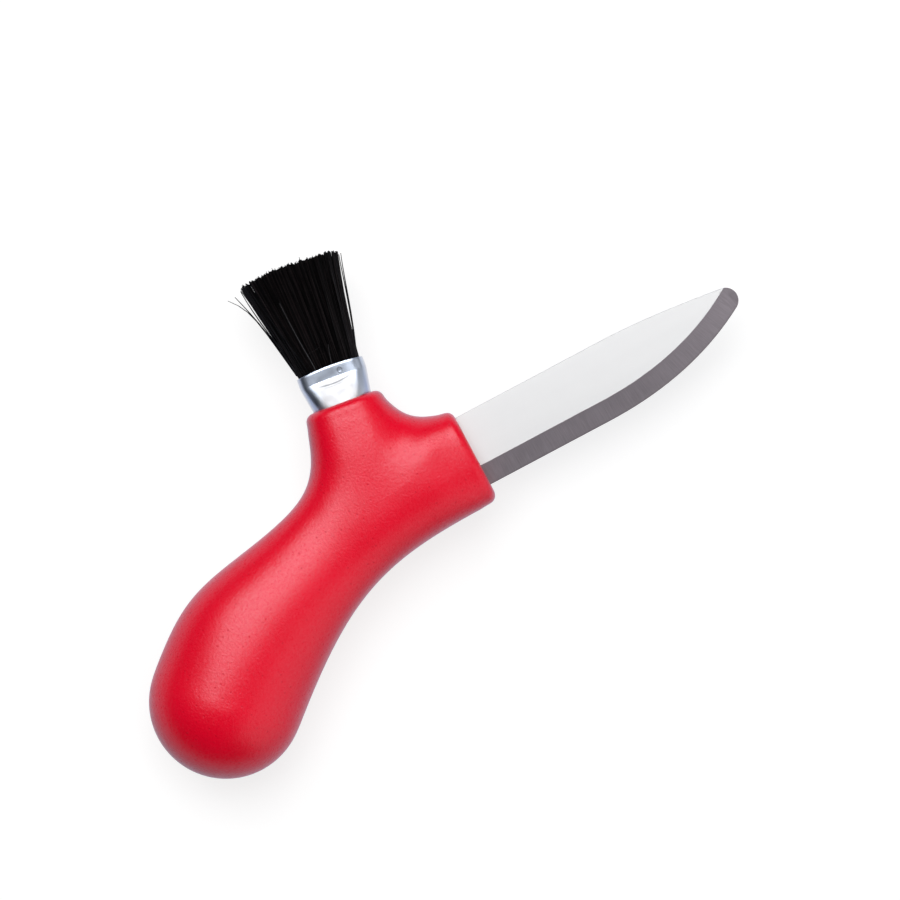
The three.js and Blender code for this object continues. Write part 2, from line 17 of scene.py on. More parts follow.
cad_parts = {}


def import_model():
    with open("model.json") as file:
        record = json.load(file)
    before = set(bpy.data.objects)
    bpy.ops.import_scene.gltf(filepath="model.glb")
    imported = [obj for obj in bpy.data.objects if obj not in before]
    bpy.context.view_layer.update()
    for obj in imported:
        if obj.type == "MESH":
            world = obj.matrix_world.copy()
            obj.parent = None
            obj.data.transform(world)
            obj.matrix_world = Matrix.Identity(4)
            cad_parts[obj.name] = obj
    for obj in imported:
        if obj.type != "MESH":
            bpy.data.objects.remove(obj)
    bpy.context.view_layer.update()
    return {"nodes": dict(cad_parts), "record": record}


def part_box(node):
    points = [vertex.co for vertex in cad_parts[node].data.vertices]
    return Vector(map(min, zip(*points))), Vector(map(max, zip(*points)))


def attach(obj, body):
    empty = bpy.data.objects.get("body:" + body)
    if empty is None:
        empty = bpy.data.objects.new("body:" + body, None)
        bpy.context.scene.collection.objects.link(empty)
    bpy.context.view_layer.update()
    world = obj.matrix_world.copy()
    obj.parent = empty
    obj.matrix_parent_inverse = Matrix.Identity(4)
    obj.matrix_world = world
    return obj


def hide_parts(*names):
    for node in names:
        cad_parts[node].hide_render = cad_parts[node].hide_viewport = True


LOG = logging.getLogger("mushroom_knife")
MM = 0.001
BODY = "root"
MERGE = 0.002

Colour = tuple[float, float, float]
Socket = bpy.types.NodeSocket


class Element(Enum):
    """What a selection in edit mode is made of."""

    POINT = "VERT"
    EDGE = "EDGE"
    FACE = "FACE"


class Facing(Enum):
    """Which side of the brush something lies on, as the sign of the depth axis."""

    FRONT = -1
    BACK = 1


# Modelling helpers


def take(piece: bpy.types.Object) -> None:
    """Make one object the only selected one, and the active one.

    Args:
        piece: The object to work on.
    """
    bpy.ops.object.select_all(action="DESELECT")
    piece.select_set(True)
    bpy.context.view_layer.objects.active = piece


def edit(piece: bpy.types.Object) -> None:
    """Open an object in edit mode, set to choose points, with nothing selected.

    Args:
        piece: The object to open.
    """
    take(piece)
    bpy.ops.object.mode_set(mode="EDIT")
    bpy.ops.mesh.select_mode(type=Element.POINT.value)
    bpy.ops.mesh.select_all(action="DESELECT")


def close() -> None:
    """Leave edit mode."""
    bpy.ops.object.mode_set(mode="OBJECT")


def choose(piece: bpy.types.Object, element: Element, test: Callable[[Any], bool]) -> int:
    """Select the points, edges or faces of an open mesh that pass a test.

    Args:
        piece: The object in edit mode.
        element: What to select.
        test: Says whether one element is wanted.

    Returns:
        How many elements are selected.
    """
    bpy.ops.mesh.select_all(action="DESELECT")
    bpy.ops.mesh.select_mode(type=element.value)
    mesh = bmesh.from_edit_mesh(piece.data)
    lists = {Element.POINT: mesh.verts, Element.EDGE: mesh.edges, Element.FACE: mesh.faces}
    chosen = [item for item in lists[element] if test(item)]
    for item in chosen:
        item.select_set(True)
    mesh.select_flush_mode()
    bmesh.update_edit_mesh(piece.data)
    return len(chosen)


def extrude(step: Vector) -> None:
    """Extrude what is selected and move it.

    Args:
        step: How far the new part moves.
    """
    bpy.ops.mesh.extrude_region_move(TRANSFORM_OT_translate={"value": step})


def widen(share: float, centre: Vector) -> None:
    """Scale what is selected about a point.

    Args:
        share: The scale.
        centre: The point that stays.
    """
    bpy.ops.transform.resize(value=(share, share, share), center_override=centre)


def apply(piece: bpy.types.Object, kind: str, **settings: Any) -> None:
    """Add a modifier and apply it at once.

    Args:
        piece: The object to change.
        kind: The modifier's type.
        settings: Values for the modifier's properties.
    """
    take(piece)
    modifier = piece.modifiers.new(kind.lower(), kind)
    for name, value in settings.items():
        setattr(modifier, name, value)
    bpy.ops.object.modifier_apply(modifier=modifier.name)


def copy_of(node: bpy.types.Object, name: str) -> bpy.types.Object:
    """Copy a CAD node's mesh into a new object, with its loose triangles merged.

    Args:
        node: The CAD node.
        name: The new object's name.

    Returns:
        The new object.
    """
    piece = bpy.data.objects.new(name, node.data.copy())
    piece.data.name = name
    piece.data.materials.clear()
    bpy.context.scene.collection.objects.link(piece)
    take(piece)
    if piece.data.has_custom_normals:
        bpy.ops.mesh.customdata_custom_splitnormals_clear()
    edit(piece)
    bpy.ops.mesh.select_all(action="SELECT")
    bpy.ops.mesh.remove_doubles(threshold=MERGE * MM)
    close()
    return piece


def settle(piece: bpy.types.Object, place: Matrix) -> None:
    """Put an object in its place and move that place into its mesh.

    Args:
        piece: The object, modelled about the origin.
        place: Where it goes in the knife's frame.
    """
    take(piece)
    piece.matrix_world = place
    bpy.ops.object.transform_apply(location=True, rotation=True, scale=True)


def ease(share: float) -> float:
    """Go from 0 to 1 with no slope at either end.

    Args:
        share: Any number, held to the range 0 to 1.

    Returns:
        The eased share.
    """
    held = min(1.0, max(0.0, share))
    return held * held * (3 - 2 * held)


def mix(start: float, end: float, share: float) -> float:
    """Return the value a share of the way from start to end."""
    return start + (end - start) * share


# The knife's frame


@dataclass(frozen=True)
class KnifeFrame:
    """Where the knife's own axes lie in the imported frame.

    The blade frame has x along the blade from the bolster's face, y towards the spine and z off
    the middle plane. The brush frame has x across the brush, y to the back and z out along it.
    """

    origin: Vector
    collar: tuple[float, float] = (-20.546, 23.2)
    brush_angle: float = 82.5

    @classmethod
    def read(cls, record: dict[str, Any]) -> "KnifeFrame":
        """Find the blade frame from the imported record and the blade's box.

        Args:
            record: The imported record.

        Returns:
            The frame.
        """
        face = next(mount for mount in record["mounts"] if mount["name"] == "bolster_face")
        low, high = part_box("blade")
        return cls(Vector((face["pos_m"][0], face["pos_m"][1], (low.z + high.z) / 2)))

    def point(self, x: float, y: float, z: float = 0.0) -> Vector:
        """Turn a place in the blade frame, in millimetres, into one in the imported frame."""
        return self.origin + Vector((x, y, z)) * MM

    def blade_place(self, place: Vector) -> Vector:
        """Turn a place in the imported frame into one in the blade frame, in millimetres."""
        return (place - self.origin) / MM

    def brush(self) -> Matrix:
        """Work out where the brush frame lies.

        Returns:
            The matrix that puts a piece of the brush in its place.
        """
        turn = math.radians(self.brush_angle)
        out = Vector((math.cos(turn), math.sin(turn), 0))
        across = Vector((math.sin(turn), -math.cos(turn), 0))
        axes = Matrix((across, out.cross(across), out)).transposed().to_4x4()
        return Matrix.Translation(self.point(*self.collar)) @ axes

    def brush_place(self, place: Vector) -> Vector:
        """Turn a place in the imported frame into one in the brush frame, in millimetres."""
        return self.brush().inverted() @ place / MM


# Shader helpers and shared effects


class Graph:
    """A node tree that is being wired."""

    def __init__(self, tree: bpy.types.NodeTree) -> None:
        """Start on a node tree and empty it."""
        self.tree = tree
        tree.nodes.clear()

    def wire(self, node: Any, inputs: dict[Any, Any]) -> None:
        """Set or link a node's inputs.

        Args:
            node: The node.
            inputs: Values, colours or output sockets by input name or number.
        """
        for name, value in inputs.items():
            socket = node.inputs[name]
            if isinstance(value, Socket):
                self.tree.links.new(value, socket)
            elif socket.type == "RGBA":
                socket.default_value = (*value, 1.0)
            else:
                socket.default_value = value

    def add(self, kind: str, inputs: dict[Any, Any] | None = None, **settings: Any) -> Any:
        """Add a node, set its properties, and set or link its inputs.

        Args:
            kind: The node's type.
            inputs: Values, colours or output sockets by input name or number.
            settings: Values for the node's properties.

        Returns:
            The node.
        """
        node = self.tree.nodes.new(kind)
        for name, value in settings.items():
            setattr(node, name, value)
        self.wire(node, inputs or {})
        return node

    def math(self, operation: str, first: Any, second: Any = 0.0) -> Socket:
        """Add a Math node and return its output."""
        return self.add("ShaderNodeMath", {0: first, 1: second}, operation=operation).outputs[0]

    def times(self, first: Any, second: Any) -> Socket:
        """Multiply two values and return the output."""
        return self.math("MULTIPLY", first, second)

    def gap(self, value: Any, mark: Any) -> Socket:
        """Return how far a value lies from a mark, to either side."""
        return self.math("ABSOLUTE", self.math("SUBTRACT", value, mark))

    def span(self, value: Any, low: float, high: float, to_low: float, to_high: float) -> Socket:
        """Map a value from one range to another, held at its ends, and return the output."""
        inputs = {"Value": value, "From Min": low, "From Max": high, "To Min": to_low, "To Max": to_high}
        return self.add("ShaderNodeMapRange", inputs).outputs["Result"]

    def rise(self, value: Any, start: float, end: float) -> Socket:
        """Return a mask that is empty up to the start and full from the end."""
        return self.span(value, start, end, 0.0, 1.0)

    def fade(self, value: Any, start: float, end: float, share: float = 1.0) -> Socket:
        """Return a mask that holds a share up to the start and is empty from the end."""
        return self.span(value, start, end, share, 0.0)

    def around(self, value: Any, low: float, high: float, middle: float, spread: float) -> Socket:
        """Map a value to a spread on either side of a middle, and return the output."""
        return self.span(value, low, high, middle - spread, middle + spread)

    def blend(self, share: Any, first: Any, second: Any) -> Socket:
        """Mix two colours, which are a Mix node's inputs 6 and 7 and its output 2."""
        return self.add("ShaderNodeMix", {0: share, 6: first, 7: second}, data_type="RGBA").outputs[2]

    def noise(self, place: Any, scale: Any, detail: float, roughness: float = 0.5) -> Socket:
        """Add a Noise Texture and return its value."""
        inputs = {"Vector": place, "Scale": scale, "Detail": detail, "Roughness": roughness}
        return self.add("ShaderNodeTexNoise", inputs).outputs[0]

    def bump(self, height: Any, depth: float) -> Socket:
        """Add a Bump node with a depth in millimetres and return its normal."""
        inputs = {"Height": height, "Strength": 1.0, "Distance": depth * MM}
        return self.add("ShaderNodeBump", inputs).outputs[0]

    def split(self, place: Any) -> Any:
        """Return the outputs that hold a place's X, Y and Z."""
        return self.add("ShaderNodeSeparateXYZ", {0: place}).outputs

    def object_place(self) -> Socket:
        """Return the Object output of a new Texture Coordinate node."""
        return self.add("ShaderNodeTexCoord").outputs["Object"]

    def own_map(self, name: str) -> Socket:
        """Return the output of a new node that reads one of the mesh's maps."""
        return self.add("ShaderNodeUVMap", uv_map=name).outputs[0]

    def attribute(self, name: str) -> Socket:
        """Return the value of a new node that reads one of the mesh's attributes."""
        node = self.add("ShaderNodeAttribute", attribute_name=name, attribute_type="GEOMETRY")
        return node.outputs["Fac"]

    def group(self, tree: bpy.types.NodeTree, inputs: dict[str, Any]) -> Any:
        """Place a shared effect with its own values and return its outputs."""
        return self.add("ShaderNodeGroup", inputs, node_tree=tree).outputs


class Effects:
    """The effects that several finishes share, each built once as a node group."""

    pit_core: float = 0.06
    pit_edge: float = 0.2
    pit_choice: tuple[float, float] = (0.45, 0.5)
    line_range: tuple[float, float] = (0.3, 0.7)
    band_scale: float = 0.22
    patch_range: tuple[float, float] = (0.32, 0.68)

    def __init__(self) -> None:
        """Build the groups."""
        self.grain = self._grain()
        self.lines = self._lines()
        self.patches = self._patches()

    @staticmethod
    def _start(name: str, inputs: list[str], outputs: list[str]) -> tuple[Graph, Any, Any]:
        """Make an empty group with named sockets.

        Args:
            name: The group's name.
            inputs: The names of its number inputs. It always has a Vector input too.
            outputs: The names of its number outputs.

        Returns:
            The graph, what the group is given and its output node.
        """
        tree = bpy.data.node_groups.new(name, "ShaderNodeTree")
        tree.interface.new_socket(name="Vector", in_out="INPUT", socket_type="NodeSocketVector")
        for socket in inputs:
            tree.interface.new_socket(name=socket, in_out="INPUT", socket_type="NodeSocketFloat")
        for socket in outputs:
            tree.interface.new_socket(name=socket, in_out="OUTPUT", socket_type="NodeSocketFloat")
        graph = Graph(tree)
        return graph, graph.add("NodeGroupInput").outputs, graph.add("NodeGroupOutput")

    def _grain(self) -> bpy.types.NodeTree:
        """Build the rounded grain of a spark-eroded mould, with a few tiny pits.

        Returns:
            The node group.
        """
        graph, given, made = self._start("moulded grain", ["Scale", "Pit Scale"], ["Height", "Pits"])
        peel = graph.noise(given["Vector"], given["Scale"], detail=2.0, roughness=0.75)
        inputs = {"Vector": given["Vector"], "Scale": given["Pit Scale"]}
        cells = graph.add("ShaderNodeTexVoronoi", inputs).outputs
        spots = graph.fade(cells["Distance"], self.pit_core, self.pit_edge)
        sparse = graph.rise(cells["Color"], *self.pit_choice)
        graph.wire(made, {"Height": peel, "Pits": graph.times(spots, sparse)})
        return graph.tree

    def _lines(self) -> bpy.types.NodeTree:
        """Build fine grinding lines that run along the vector's first axis.

        Returns:
            The node group.
        """
        graph, given, made = self._start("grinding lines", ["Along", "Across"], ["Lines", "Bands"])
        scales = {"X": given["Along"], "Y": given["Across"], "Z": given["Across"]}
        inputs = {0: given["Vector"], 1: graph.add("ShaderNodeCombineXYZ", scales).outputs[0]}
        place = graph.add("ShaderNodeVectorMath", inputs, operation="MULTIPLY").outputs[0]
        fine = graph.noise(place, 1.0, detail=3.0, roughness=0.7)
        broad = graph.noise(place, self.band_scale, detail=1.0)
        lines = graph.rise(fine, *self.line_range)
        bands = graph.rise(broad, *self.line_range)
        graph.wire(made, {"Lines": lines, "Bands": bands})
        return graph.tree

    def _patches(self) -> bpy.types.NodeTree:
        """Build soft uneven patches, as handling and moulding leave on a surface.

        Returns:
            The node group.
        """
        graph, given, made = self._start("soft patches", ["Scale"], ["Mask"])
        cloud = graph.noise(given["Vector"], given["Scale"], detail=3.0)
        graph.wire(made, {"Mask": graph.rise(cloud, *self.patch_range)})
        return graph.tree


def new_material(name: str) -> tuple[bpy.types.Material, Graph, Any]:
    """Make a material with a Principled shader on its output.

    Args:
        name: The material's name.

    Returns:
        The material, its graph and the shader node.
    """
    material = bpy.data.materials.new(name)
    material.use_nodes = True
    graph = Graph(material.node_tree)
    shader = graph.add("ShaderNodeBsdfPrincipled")
    graph.add("ShaderNodeOutputMaterial", {"Surface": shader.outputs[0]})
    return material, graph, shader


def toned(colour: Colour, share: float) -> Colour:
    """Return a colour made darker or paler by a share."""
    return tuple(share * value for value in colour)


# Finishes


@dataclass(frozen=True)
class PlasticFinish:
    """Moulded red plastic with a fine spark-eroded grain, painted shade in its tiny pits and a faint
    parting line.
    """

    colour: Colour = (0.88, 0.0008, 0.023)
    deep: Colour = (0.85, 0.0005, 0.020)
    patch_scale: float = 95.0
    roughness: float = 0.31
    roughness_spread: float = 0.04
    grain_scale: float = 1900.0
    grain_depth: float = 0.12
    grain_range: tuple[float, float] = (0.3, 0.7)
    pit_scale: float = 640.0
    # The pits' darker colour is painted shade in the tiny recesses.
    pit_shade_colour: Colour = (0.30, 0.0003, 0.003)
    pit_shade_share: float = 0.22
    pit_depth: float = 0.3
    pit_gloss: float = 0.35
    seam_core: float = 0.03
    seam_edge: float = 0.16
    seam_height: float = 0.6
    gloss: float = 0.5
    gloss_spread: float = 0.22
    gloss_range: tuple[float, float] = (0.36, 0.64)
    specular: float = 0.32
    specular_tint: Colour = (0.97, 0.80, 1.0)

    def material(self, effects: Effects, parting: float) -> bpy.types.Material:
        """Build the material.

        Args:
            effects: The shared node groups.
            parting: The height of the mould's parting line.

        Returns:
            The material.
        """
        material, graph, shader = new_material("red_plastic")
        place = graph.object_place()
        cloud = graph.group(effects.patches, {"Vector": place, "Scale": self.patch_scale})["Mask"]
        scales = {"Vector": place, "Scale": self.grain_scale, "Pit Scale": self.pit_scale}
        grain = graph.group(effects.grain, scales)
        peel = grain["Height"]
        pits = grain["Pits"]
        tint = graph.blend(cloud, self.colour, self.deep)
        # Darken the pits' colour: painted shade in the tiny recesses, added to their real dip in the bump
        # and their duller coat.
        tint = graph.blend(graph.times(pits, self.pit_shade_share), tint, self.pit_shade_colour)

        off = graph.gap(graph.split(place)["Z"], parting)
        seam = graph.fade(off, self.seam_core * MM, self.seam_edge * MM, self.seam_height)
        relief = graph.math("SUBTRACT", peel, graph.times(pits, self.pit_depth))
        relief = graph.math("ADD", relief, seam)

        dulled = graph.span(pits, 0.0, 1.0, 1.0, self.pit_gloss)
        gloss = graph.around(peel, *self.gloss_range, self.gloss, self.gloss_spread)
        inputs = {
            "Base Color": tint,
            "Roughness": graph.around(peel, *self.grain_range, self.roughness, self.roughness_spread),
            "Normal": graph.bump(relief, self.grain_depth),
            "Coat Weight": graph.times(gloss, dulled),
            "Coat Roughness": self.roughness,
            "Specular IOR Level": self.specular,
            "Specular Tint": self.specular_tint,
        }
        graph.wire(shader, inputs)
        return material


@dataclass(frozen=True)
class BladeFinish:
    """Stainless steel with pale satin flats and darker bevels, ground across the edge."""

    flat: Colour = (0.76, 0.76, 0.765)
    flat_band: float = 0.985
    flat_dull: float = 0.96
    flat_patches: float = 0.4
    flat_roughness: float = 0.28
    flat_spread: float = 0.002
    flat_metal: float = 0.7
    ground: Colour = (0.46, 0.41, 0.45)
    ground_dark: float = 0.80
    ground_pale: float = 1.16
    ground_bands: float = 0.5
    ground_roughness: float = 0.38
    ground_spread: float = 0.06
    ground_metal: float = 0.93
    rim: Colour = (0.22, 0.21, 0.22)
    rim_core: float = 0.08
    rim_edge: float = 0.3
    rim_share: float = 0.55
    line_depth: float = 0.004

    def material(self, effects: Effects) -> bpy.types.Material:
        """Build the material.

        Args:
            effects: The shared node groups.

        Returns:
            The material.
        """
        material, graph, shader = new_material("blade_steel")
        place = graph.object_place()
        ground = graph.attribute("ground")
        grind = graph.own_map("grind")
        across = graph.group(effects.lines, {"Vector": grind, "Along": 0.22, "Across": 6.5})
        along = graph.group(effects.lines, {"Vector": place, "Along": 60.0, "Across": 1500.0})
        cloud = graph.group(effects.patches, {"Vector": place, "Scale": 140.0})["Mask"]

        satin = graph.blend(along["Bands"], self.flat, toned(self.flat, self.flat_band))
        share = graph.times(cloud, self.flat_patches)
        satin = graph.blend(share, satin, toned(self.flat, self.flat_dull))
        dark = toned(self.ground, self.ground_dark)
        pale = toned(self.ground, self.ground_pale)
        bevel = graph.blend(across["Lines"], dark, pale)
        bevel = graph.blend(graph.times(across["Bands"], self.ground_bands), bevel, self.ground)
        inset = graph.split(grind)["X"]
        rim = graph.fade(inset, self.rim_core, self.rim_edge, self.rim_share)
        bevel = graph.blend(rim, bevel, self.rim)

        smooth = graph.around(cloud, 0.0, 1.0, self.flat_roughness, self.flat_spread)
        keen = graph.around(across["Lines"], 0.0, 1.0, self.ground_roughness, self.ground_spread)
        rest = graph.times(smooth, graph.math("SUBTRACT", 1.0, ground))
        inputs = {
            "Base Color": graph.blend(ground, satin, bevel),
            "Roughness": graph.math("ADD", graph.times(keen, ground), rest),
            "Metallic": graph.span(ground, 0.0, 1.0, self.flat_metal, self.ground_metal),
            "Normal": graph.bump(graph.times(across["Lines"], ground), self.line_depth),
        }
        graph.wire(shader, inputs)
        return material


@dataclass(frozen=True)
class FerruleFinish:
    """Drawn sheet metal with a dull panel and painted light: a painted reflection on its sides, a front
    panel toned for the key light's reflection, a painted shade line along the crease and a painted shade
    ring round the staking mark.

    Places on the sheet are millimetres up the tube and round it from the middle of the front.
    """

    colour: Colour = (0.56, 0.62, 0.73)
    dull: Colour = (0.47, 0.53, 0.65)
    # Paler colour for the tube's sides: a painted reflection along the flanks.
    painted_side_reflection: Colour = (0.96, 0.97, 0.90)
    line_share: float = 0.45
    roughness: float = 0.35
    roughness_spread: float = 0.06
    dents: float = 2.0
    dent_depth: float = 0.0008
    side_from: float = 6.6
    side_to: float = 8.0
    # The front panel's colour is painted highlight tone: it sets how the key light's reflection shows
    # there.
    panel: Colour = (0.60, 0.605, 0.625)
    panel_dulling: float = 0.2
    panel_top: tuple[float, float] = (5.3, 5.8)
    panel_side: tuple[float, float] = (3.6, 5.4)
    crease: float = 4.5
    crease_sag: float = 0.022
    crease_lean: float = 0.02
    crease_side: tuple[float, float] = (3.2, 4.8)
    crease_width: tuple[float, float] = (0.05, 0.24)
    crease_share: float = 0.57
    # The crease line's dark colour is painted shade.
    painted_crease_shade: Colour = (0.08, 0.09, 0.105)
    stake_place: tuple[float, float] = (6.6, 2.49)
    stake_radius: float = 0.58
    stake_width: tuple[float, float] = (0.05, 0.2)
    stake_share: float = 0.5
    # The ring's dark colour is painted shade round the dimple.
    painted_stake_shade: Colour = (0.10, 0.11, 0.13)

    def material(self, effects: Effects) -> bpy.types.Material:
        """Build the material.

        Args:
            effects: The shared node groups.

        Returns:
            The material.
        """
        material, graph, shader = new_material("ferrule_metal")
        sheet = graph.own_map("sheet")
        drawn = graph.group(effects.lines, {"Vector": sheet, "Along": 0.25, "Across": 5.0})["Lines"]
        cloud = graph.group(effects.patches, {"Vector": graph.object_place(), "Scale": 420.0})["Mask"]
        ways = graph.split(sheet)
        up = ways["X"]
        turned = ways["Y"]
        aside = graph.math("ABSOLUTE", turned)
        panel = graph.times(graph.fade(up, *self.panel_top), graph.fade(aside, *self.panel_side))

        tint = graph.blend(graph.times(drawn, self.line_share), self.colour, self.dull)
        # Paint the tube's sides paler: a painted reflection along the flanks.
        tint = graph.blend(graph.rise(aside, self.side_from, self.side_to), tint, self.painted_side_reflection)
        # Give the front panel its own neutral colour, a painted highlight tone for the key light's
        # reflection, and below, more roughness as satin wear.
        tint = graph.blend(panel, tint, self.panel)
        # Paint a dark line along the crease: painted shade in the fold.
        tint = graph.blend(self._crease_shade_line(graph, up, turned, aside), tint, self.painted_crease_shade)
        # Paint a dark ring round the staking dimple: painted shade at its rim.
        tint = graph.blend(self._stake_shade_ring(graph, up, turned), tint, self.painted_stake_shade)

        rough = graph.around(cloud, 0.0, 1.0, self.roughness, self.roughness_spread)
        dents = graph.math("ADD", graph.times(cloud, self.dents), drawn)
        inputs = {
            "Base Color": tint,
            "Roughness": graph.math("ADD", rough, graph.times(panel, self.panel_dulling)),
            "Normal": graph.bump(dents, self.dent_depth),
            "Metallic": 1.0,
        }
        graph.wire(shader, inputs)
        return material

    def _crease_shade_line(self, graph: Graph, up: Socket, turned: Socket, aside: Socket) -> Socket:
        """Return the mask of the painted shade line along the crease, which sags at the middle of the
        front.

        Args:
            graph: The material's graph.
            up: How far up the sheet a place is.
            turned: How far round the sheet it is.
            aside: The same, without its sign.

        Returns:
            The mask.
        """
        sag = graph.times(graph.times(aside, aside), self.crease_sag)
        bend = graph.math("ADD", graph.times(turned, self.crease_lean), sag)
        off = graph.gap(up, graph.math("ADD", bend, self.crease))
        line = graph.fade(off, *self.crease_width, self.crease_share)
        return graph.times(line, graph.fade(aside, *self.crease_side))

    def _stake_shade_ring(self, graph: Graph, up: Socket, turned: Socket) -> Socket:
        """Return the mask of the painted shade ring round the staking mark.

        Args:
            graph: The material's graph.
            up: How far up the sheet a place is.
            turned: How far round the sheet it is.

        Returns:
            The mask.
        """
        above = graph.math("SUBTRACT", up, self.stake_place[0])
        beside = graph.math("SUBTRACT", turned, self.stake_place[1])
        offset = graph.add("ShaderNodeCombineXYZ", {0: beside, 1: above}).outputs[0]
        away = graph.add("ShaderNodeVectorMath", {0: offset}, operation="LENGTH").outputs["Value"]
        return graph.fade(graph.gap(away, self.stake_radius), *self.stake_width, self.stake_share)


@dataclass(frozen=True)
class ResinFinish:
    """Dark cast resin that sets the bristles."""

    colour: Colour = (0.045, 0.034, 0.027)
    pale: Colour = (0.075, 0.058, 0.046)
    roughness: tuple[float, float] = (0.45, 0.7)
    grain_depth: float = 0.02

    def material(self, effects: Effects) -> bpy.types.Material:
        """Build the material.

        Args:
            effects: The shared node groups.

        Returns:
            The material.
        """
        material, graph, shader = new_material("setting_resin")
        place = graph.object_place()
        cloud = graph.group(effects.patches, {"Vector": place, "Scale": 500.0})["Mask"]
        grain = graph.group(effects.grain, {"Vector": place, "Scale": 1500.0, "Pit Scale": 700.0})
        inputs = {
            "Base Color": graph.blend(cloud, self.colour, self.pale),
            "Roughness": graph.span(cloud, 0.0, 1.0, *self.roughness),
            "Normal": graph.bump(grain["Height"], self.grain_depth),
        }
        graph.wire(shader, inputs)
        return material


@dataclass(frozen=True)
class BristleFinish:
    """Near-black bristle with a slight brown sheen, paler hair by hair.

    A hair's tone runs from 0 to 1 in the fan, and up to 2 for a pale loose hair.
    """

    dark: Colour = (0.0016, 0.0013, 0.0016)
    brown: Colour = (0.016, 0.011, 0.012)
    pale: Colour = (0.07, 0.07, 0.075)
    brown_tones: tuple[float, float] = (0.6, 1.0)
    pale_tones: tuple[float, float] = (1.5, 2.0)
    patches: float = 0.3
    roughness: tuple[float, float] = (0.34, 0.52)
    specular: float = 0.22

    def material(self, effects: Effects) -> bpy.types.Material:
        """Build the material.

        Args:
            effects: The shared node groups.

        Returns:
            The material.
        """
        material, graph, shader = new_material("black_bristle")
        tone = graph.attribute("tone")
        cloud = graph.group(effects.patches, {"Vector": graph.object_place(), "Scale": 700.0})["Mask"]
        hair = graph.blend(graph.rise(tone, *self.brown_tones), self.dark, self.brown)
        hair = graph.blend(graph.times(cloud, self.patches), hair, self.dark)
        hair = graph.blend(graph.rise(tone, *self.pale_tones), hair, self.pale)
        rough = graph.span(tone, 0.0, 1.0, *self.roughness)
        graph.wire(shader, {"Base Color": hair, "Roughness": rough, "Specular IOR Level": self.specular})
        return material


@dataclass(frozen=True)
class FloorFinish:
    """A white studio sweep that keeps the knife's shadow.

    It shows as white to the camera, and dimmer and cooler in reflections.
    """

    colour: Colour = (0.28, 0.28, 0.28)
    seen: Colour = (1.0, 1.0, 1.0)
    lift: float = 0.79
    mirrored: float = 0.62
    cool: Colour = (0.86, 0.94, 1.22)

    def material(self) -> bpy.types.Material:
        """Build the material.

        Returns:
            The material.
        """
        material = bpy.data.materials.new("studio_white")
        material.use_nodes = True
        graph = Graph(material.node_tree)
        paper = graph.add("ShaderNodeBsdfDiffuse", {"Color": self.colour}).outputs[0]
        path = graph.add("ShaderNodeLightPath").outputs
        mirror = path["Is Glossy Ray"]
        shown = graph.math("MAXIMUM", path["Is Camera Ray"], graph.times(mirror, self.mirrored))
        shown = graph.math("MAXIMUM", shown, path["Is Transmission Ray"])
        tint = graph.blend(mirror, self.seen, self.cool)
        inputs = {"Color": tint, "Strength": graph.times(shown, self.lift)}
        glow = graph.add("ShaderNodeEmission", inputs).outputs[0]
        both = graph.add("ShaderNodeAddShader", {0: paper, 1: glow}).outputs[0]
        graph.add("ShaderNodeOutputMaterial", {"Surface": both})
        return material


def dress(piece: bpy.types.Object, material: bpy.types.Material, slot: str, *nodes: str) -> None:
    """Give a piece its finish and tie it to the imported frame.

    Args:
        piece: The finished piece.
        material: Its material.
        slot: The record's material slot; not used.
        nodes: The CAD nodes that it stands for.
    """
    piece.data.materials.clear()
    piece.data.materials.append(material)
    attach(piece, BODY)
    if nodes:
        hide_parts(*nodes)
    replaced = ", ".join(nodes) or "nothing"
    LOG.info("%s: %d faces, replaces %s", piece.name, len(piece.data.polygons), replaced)


# The handle


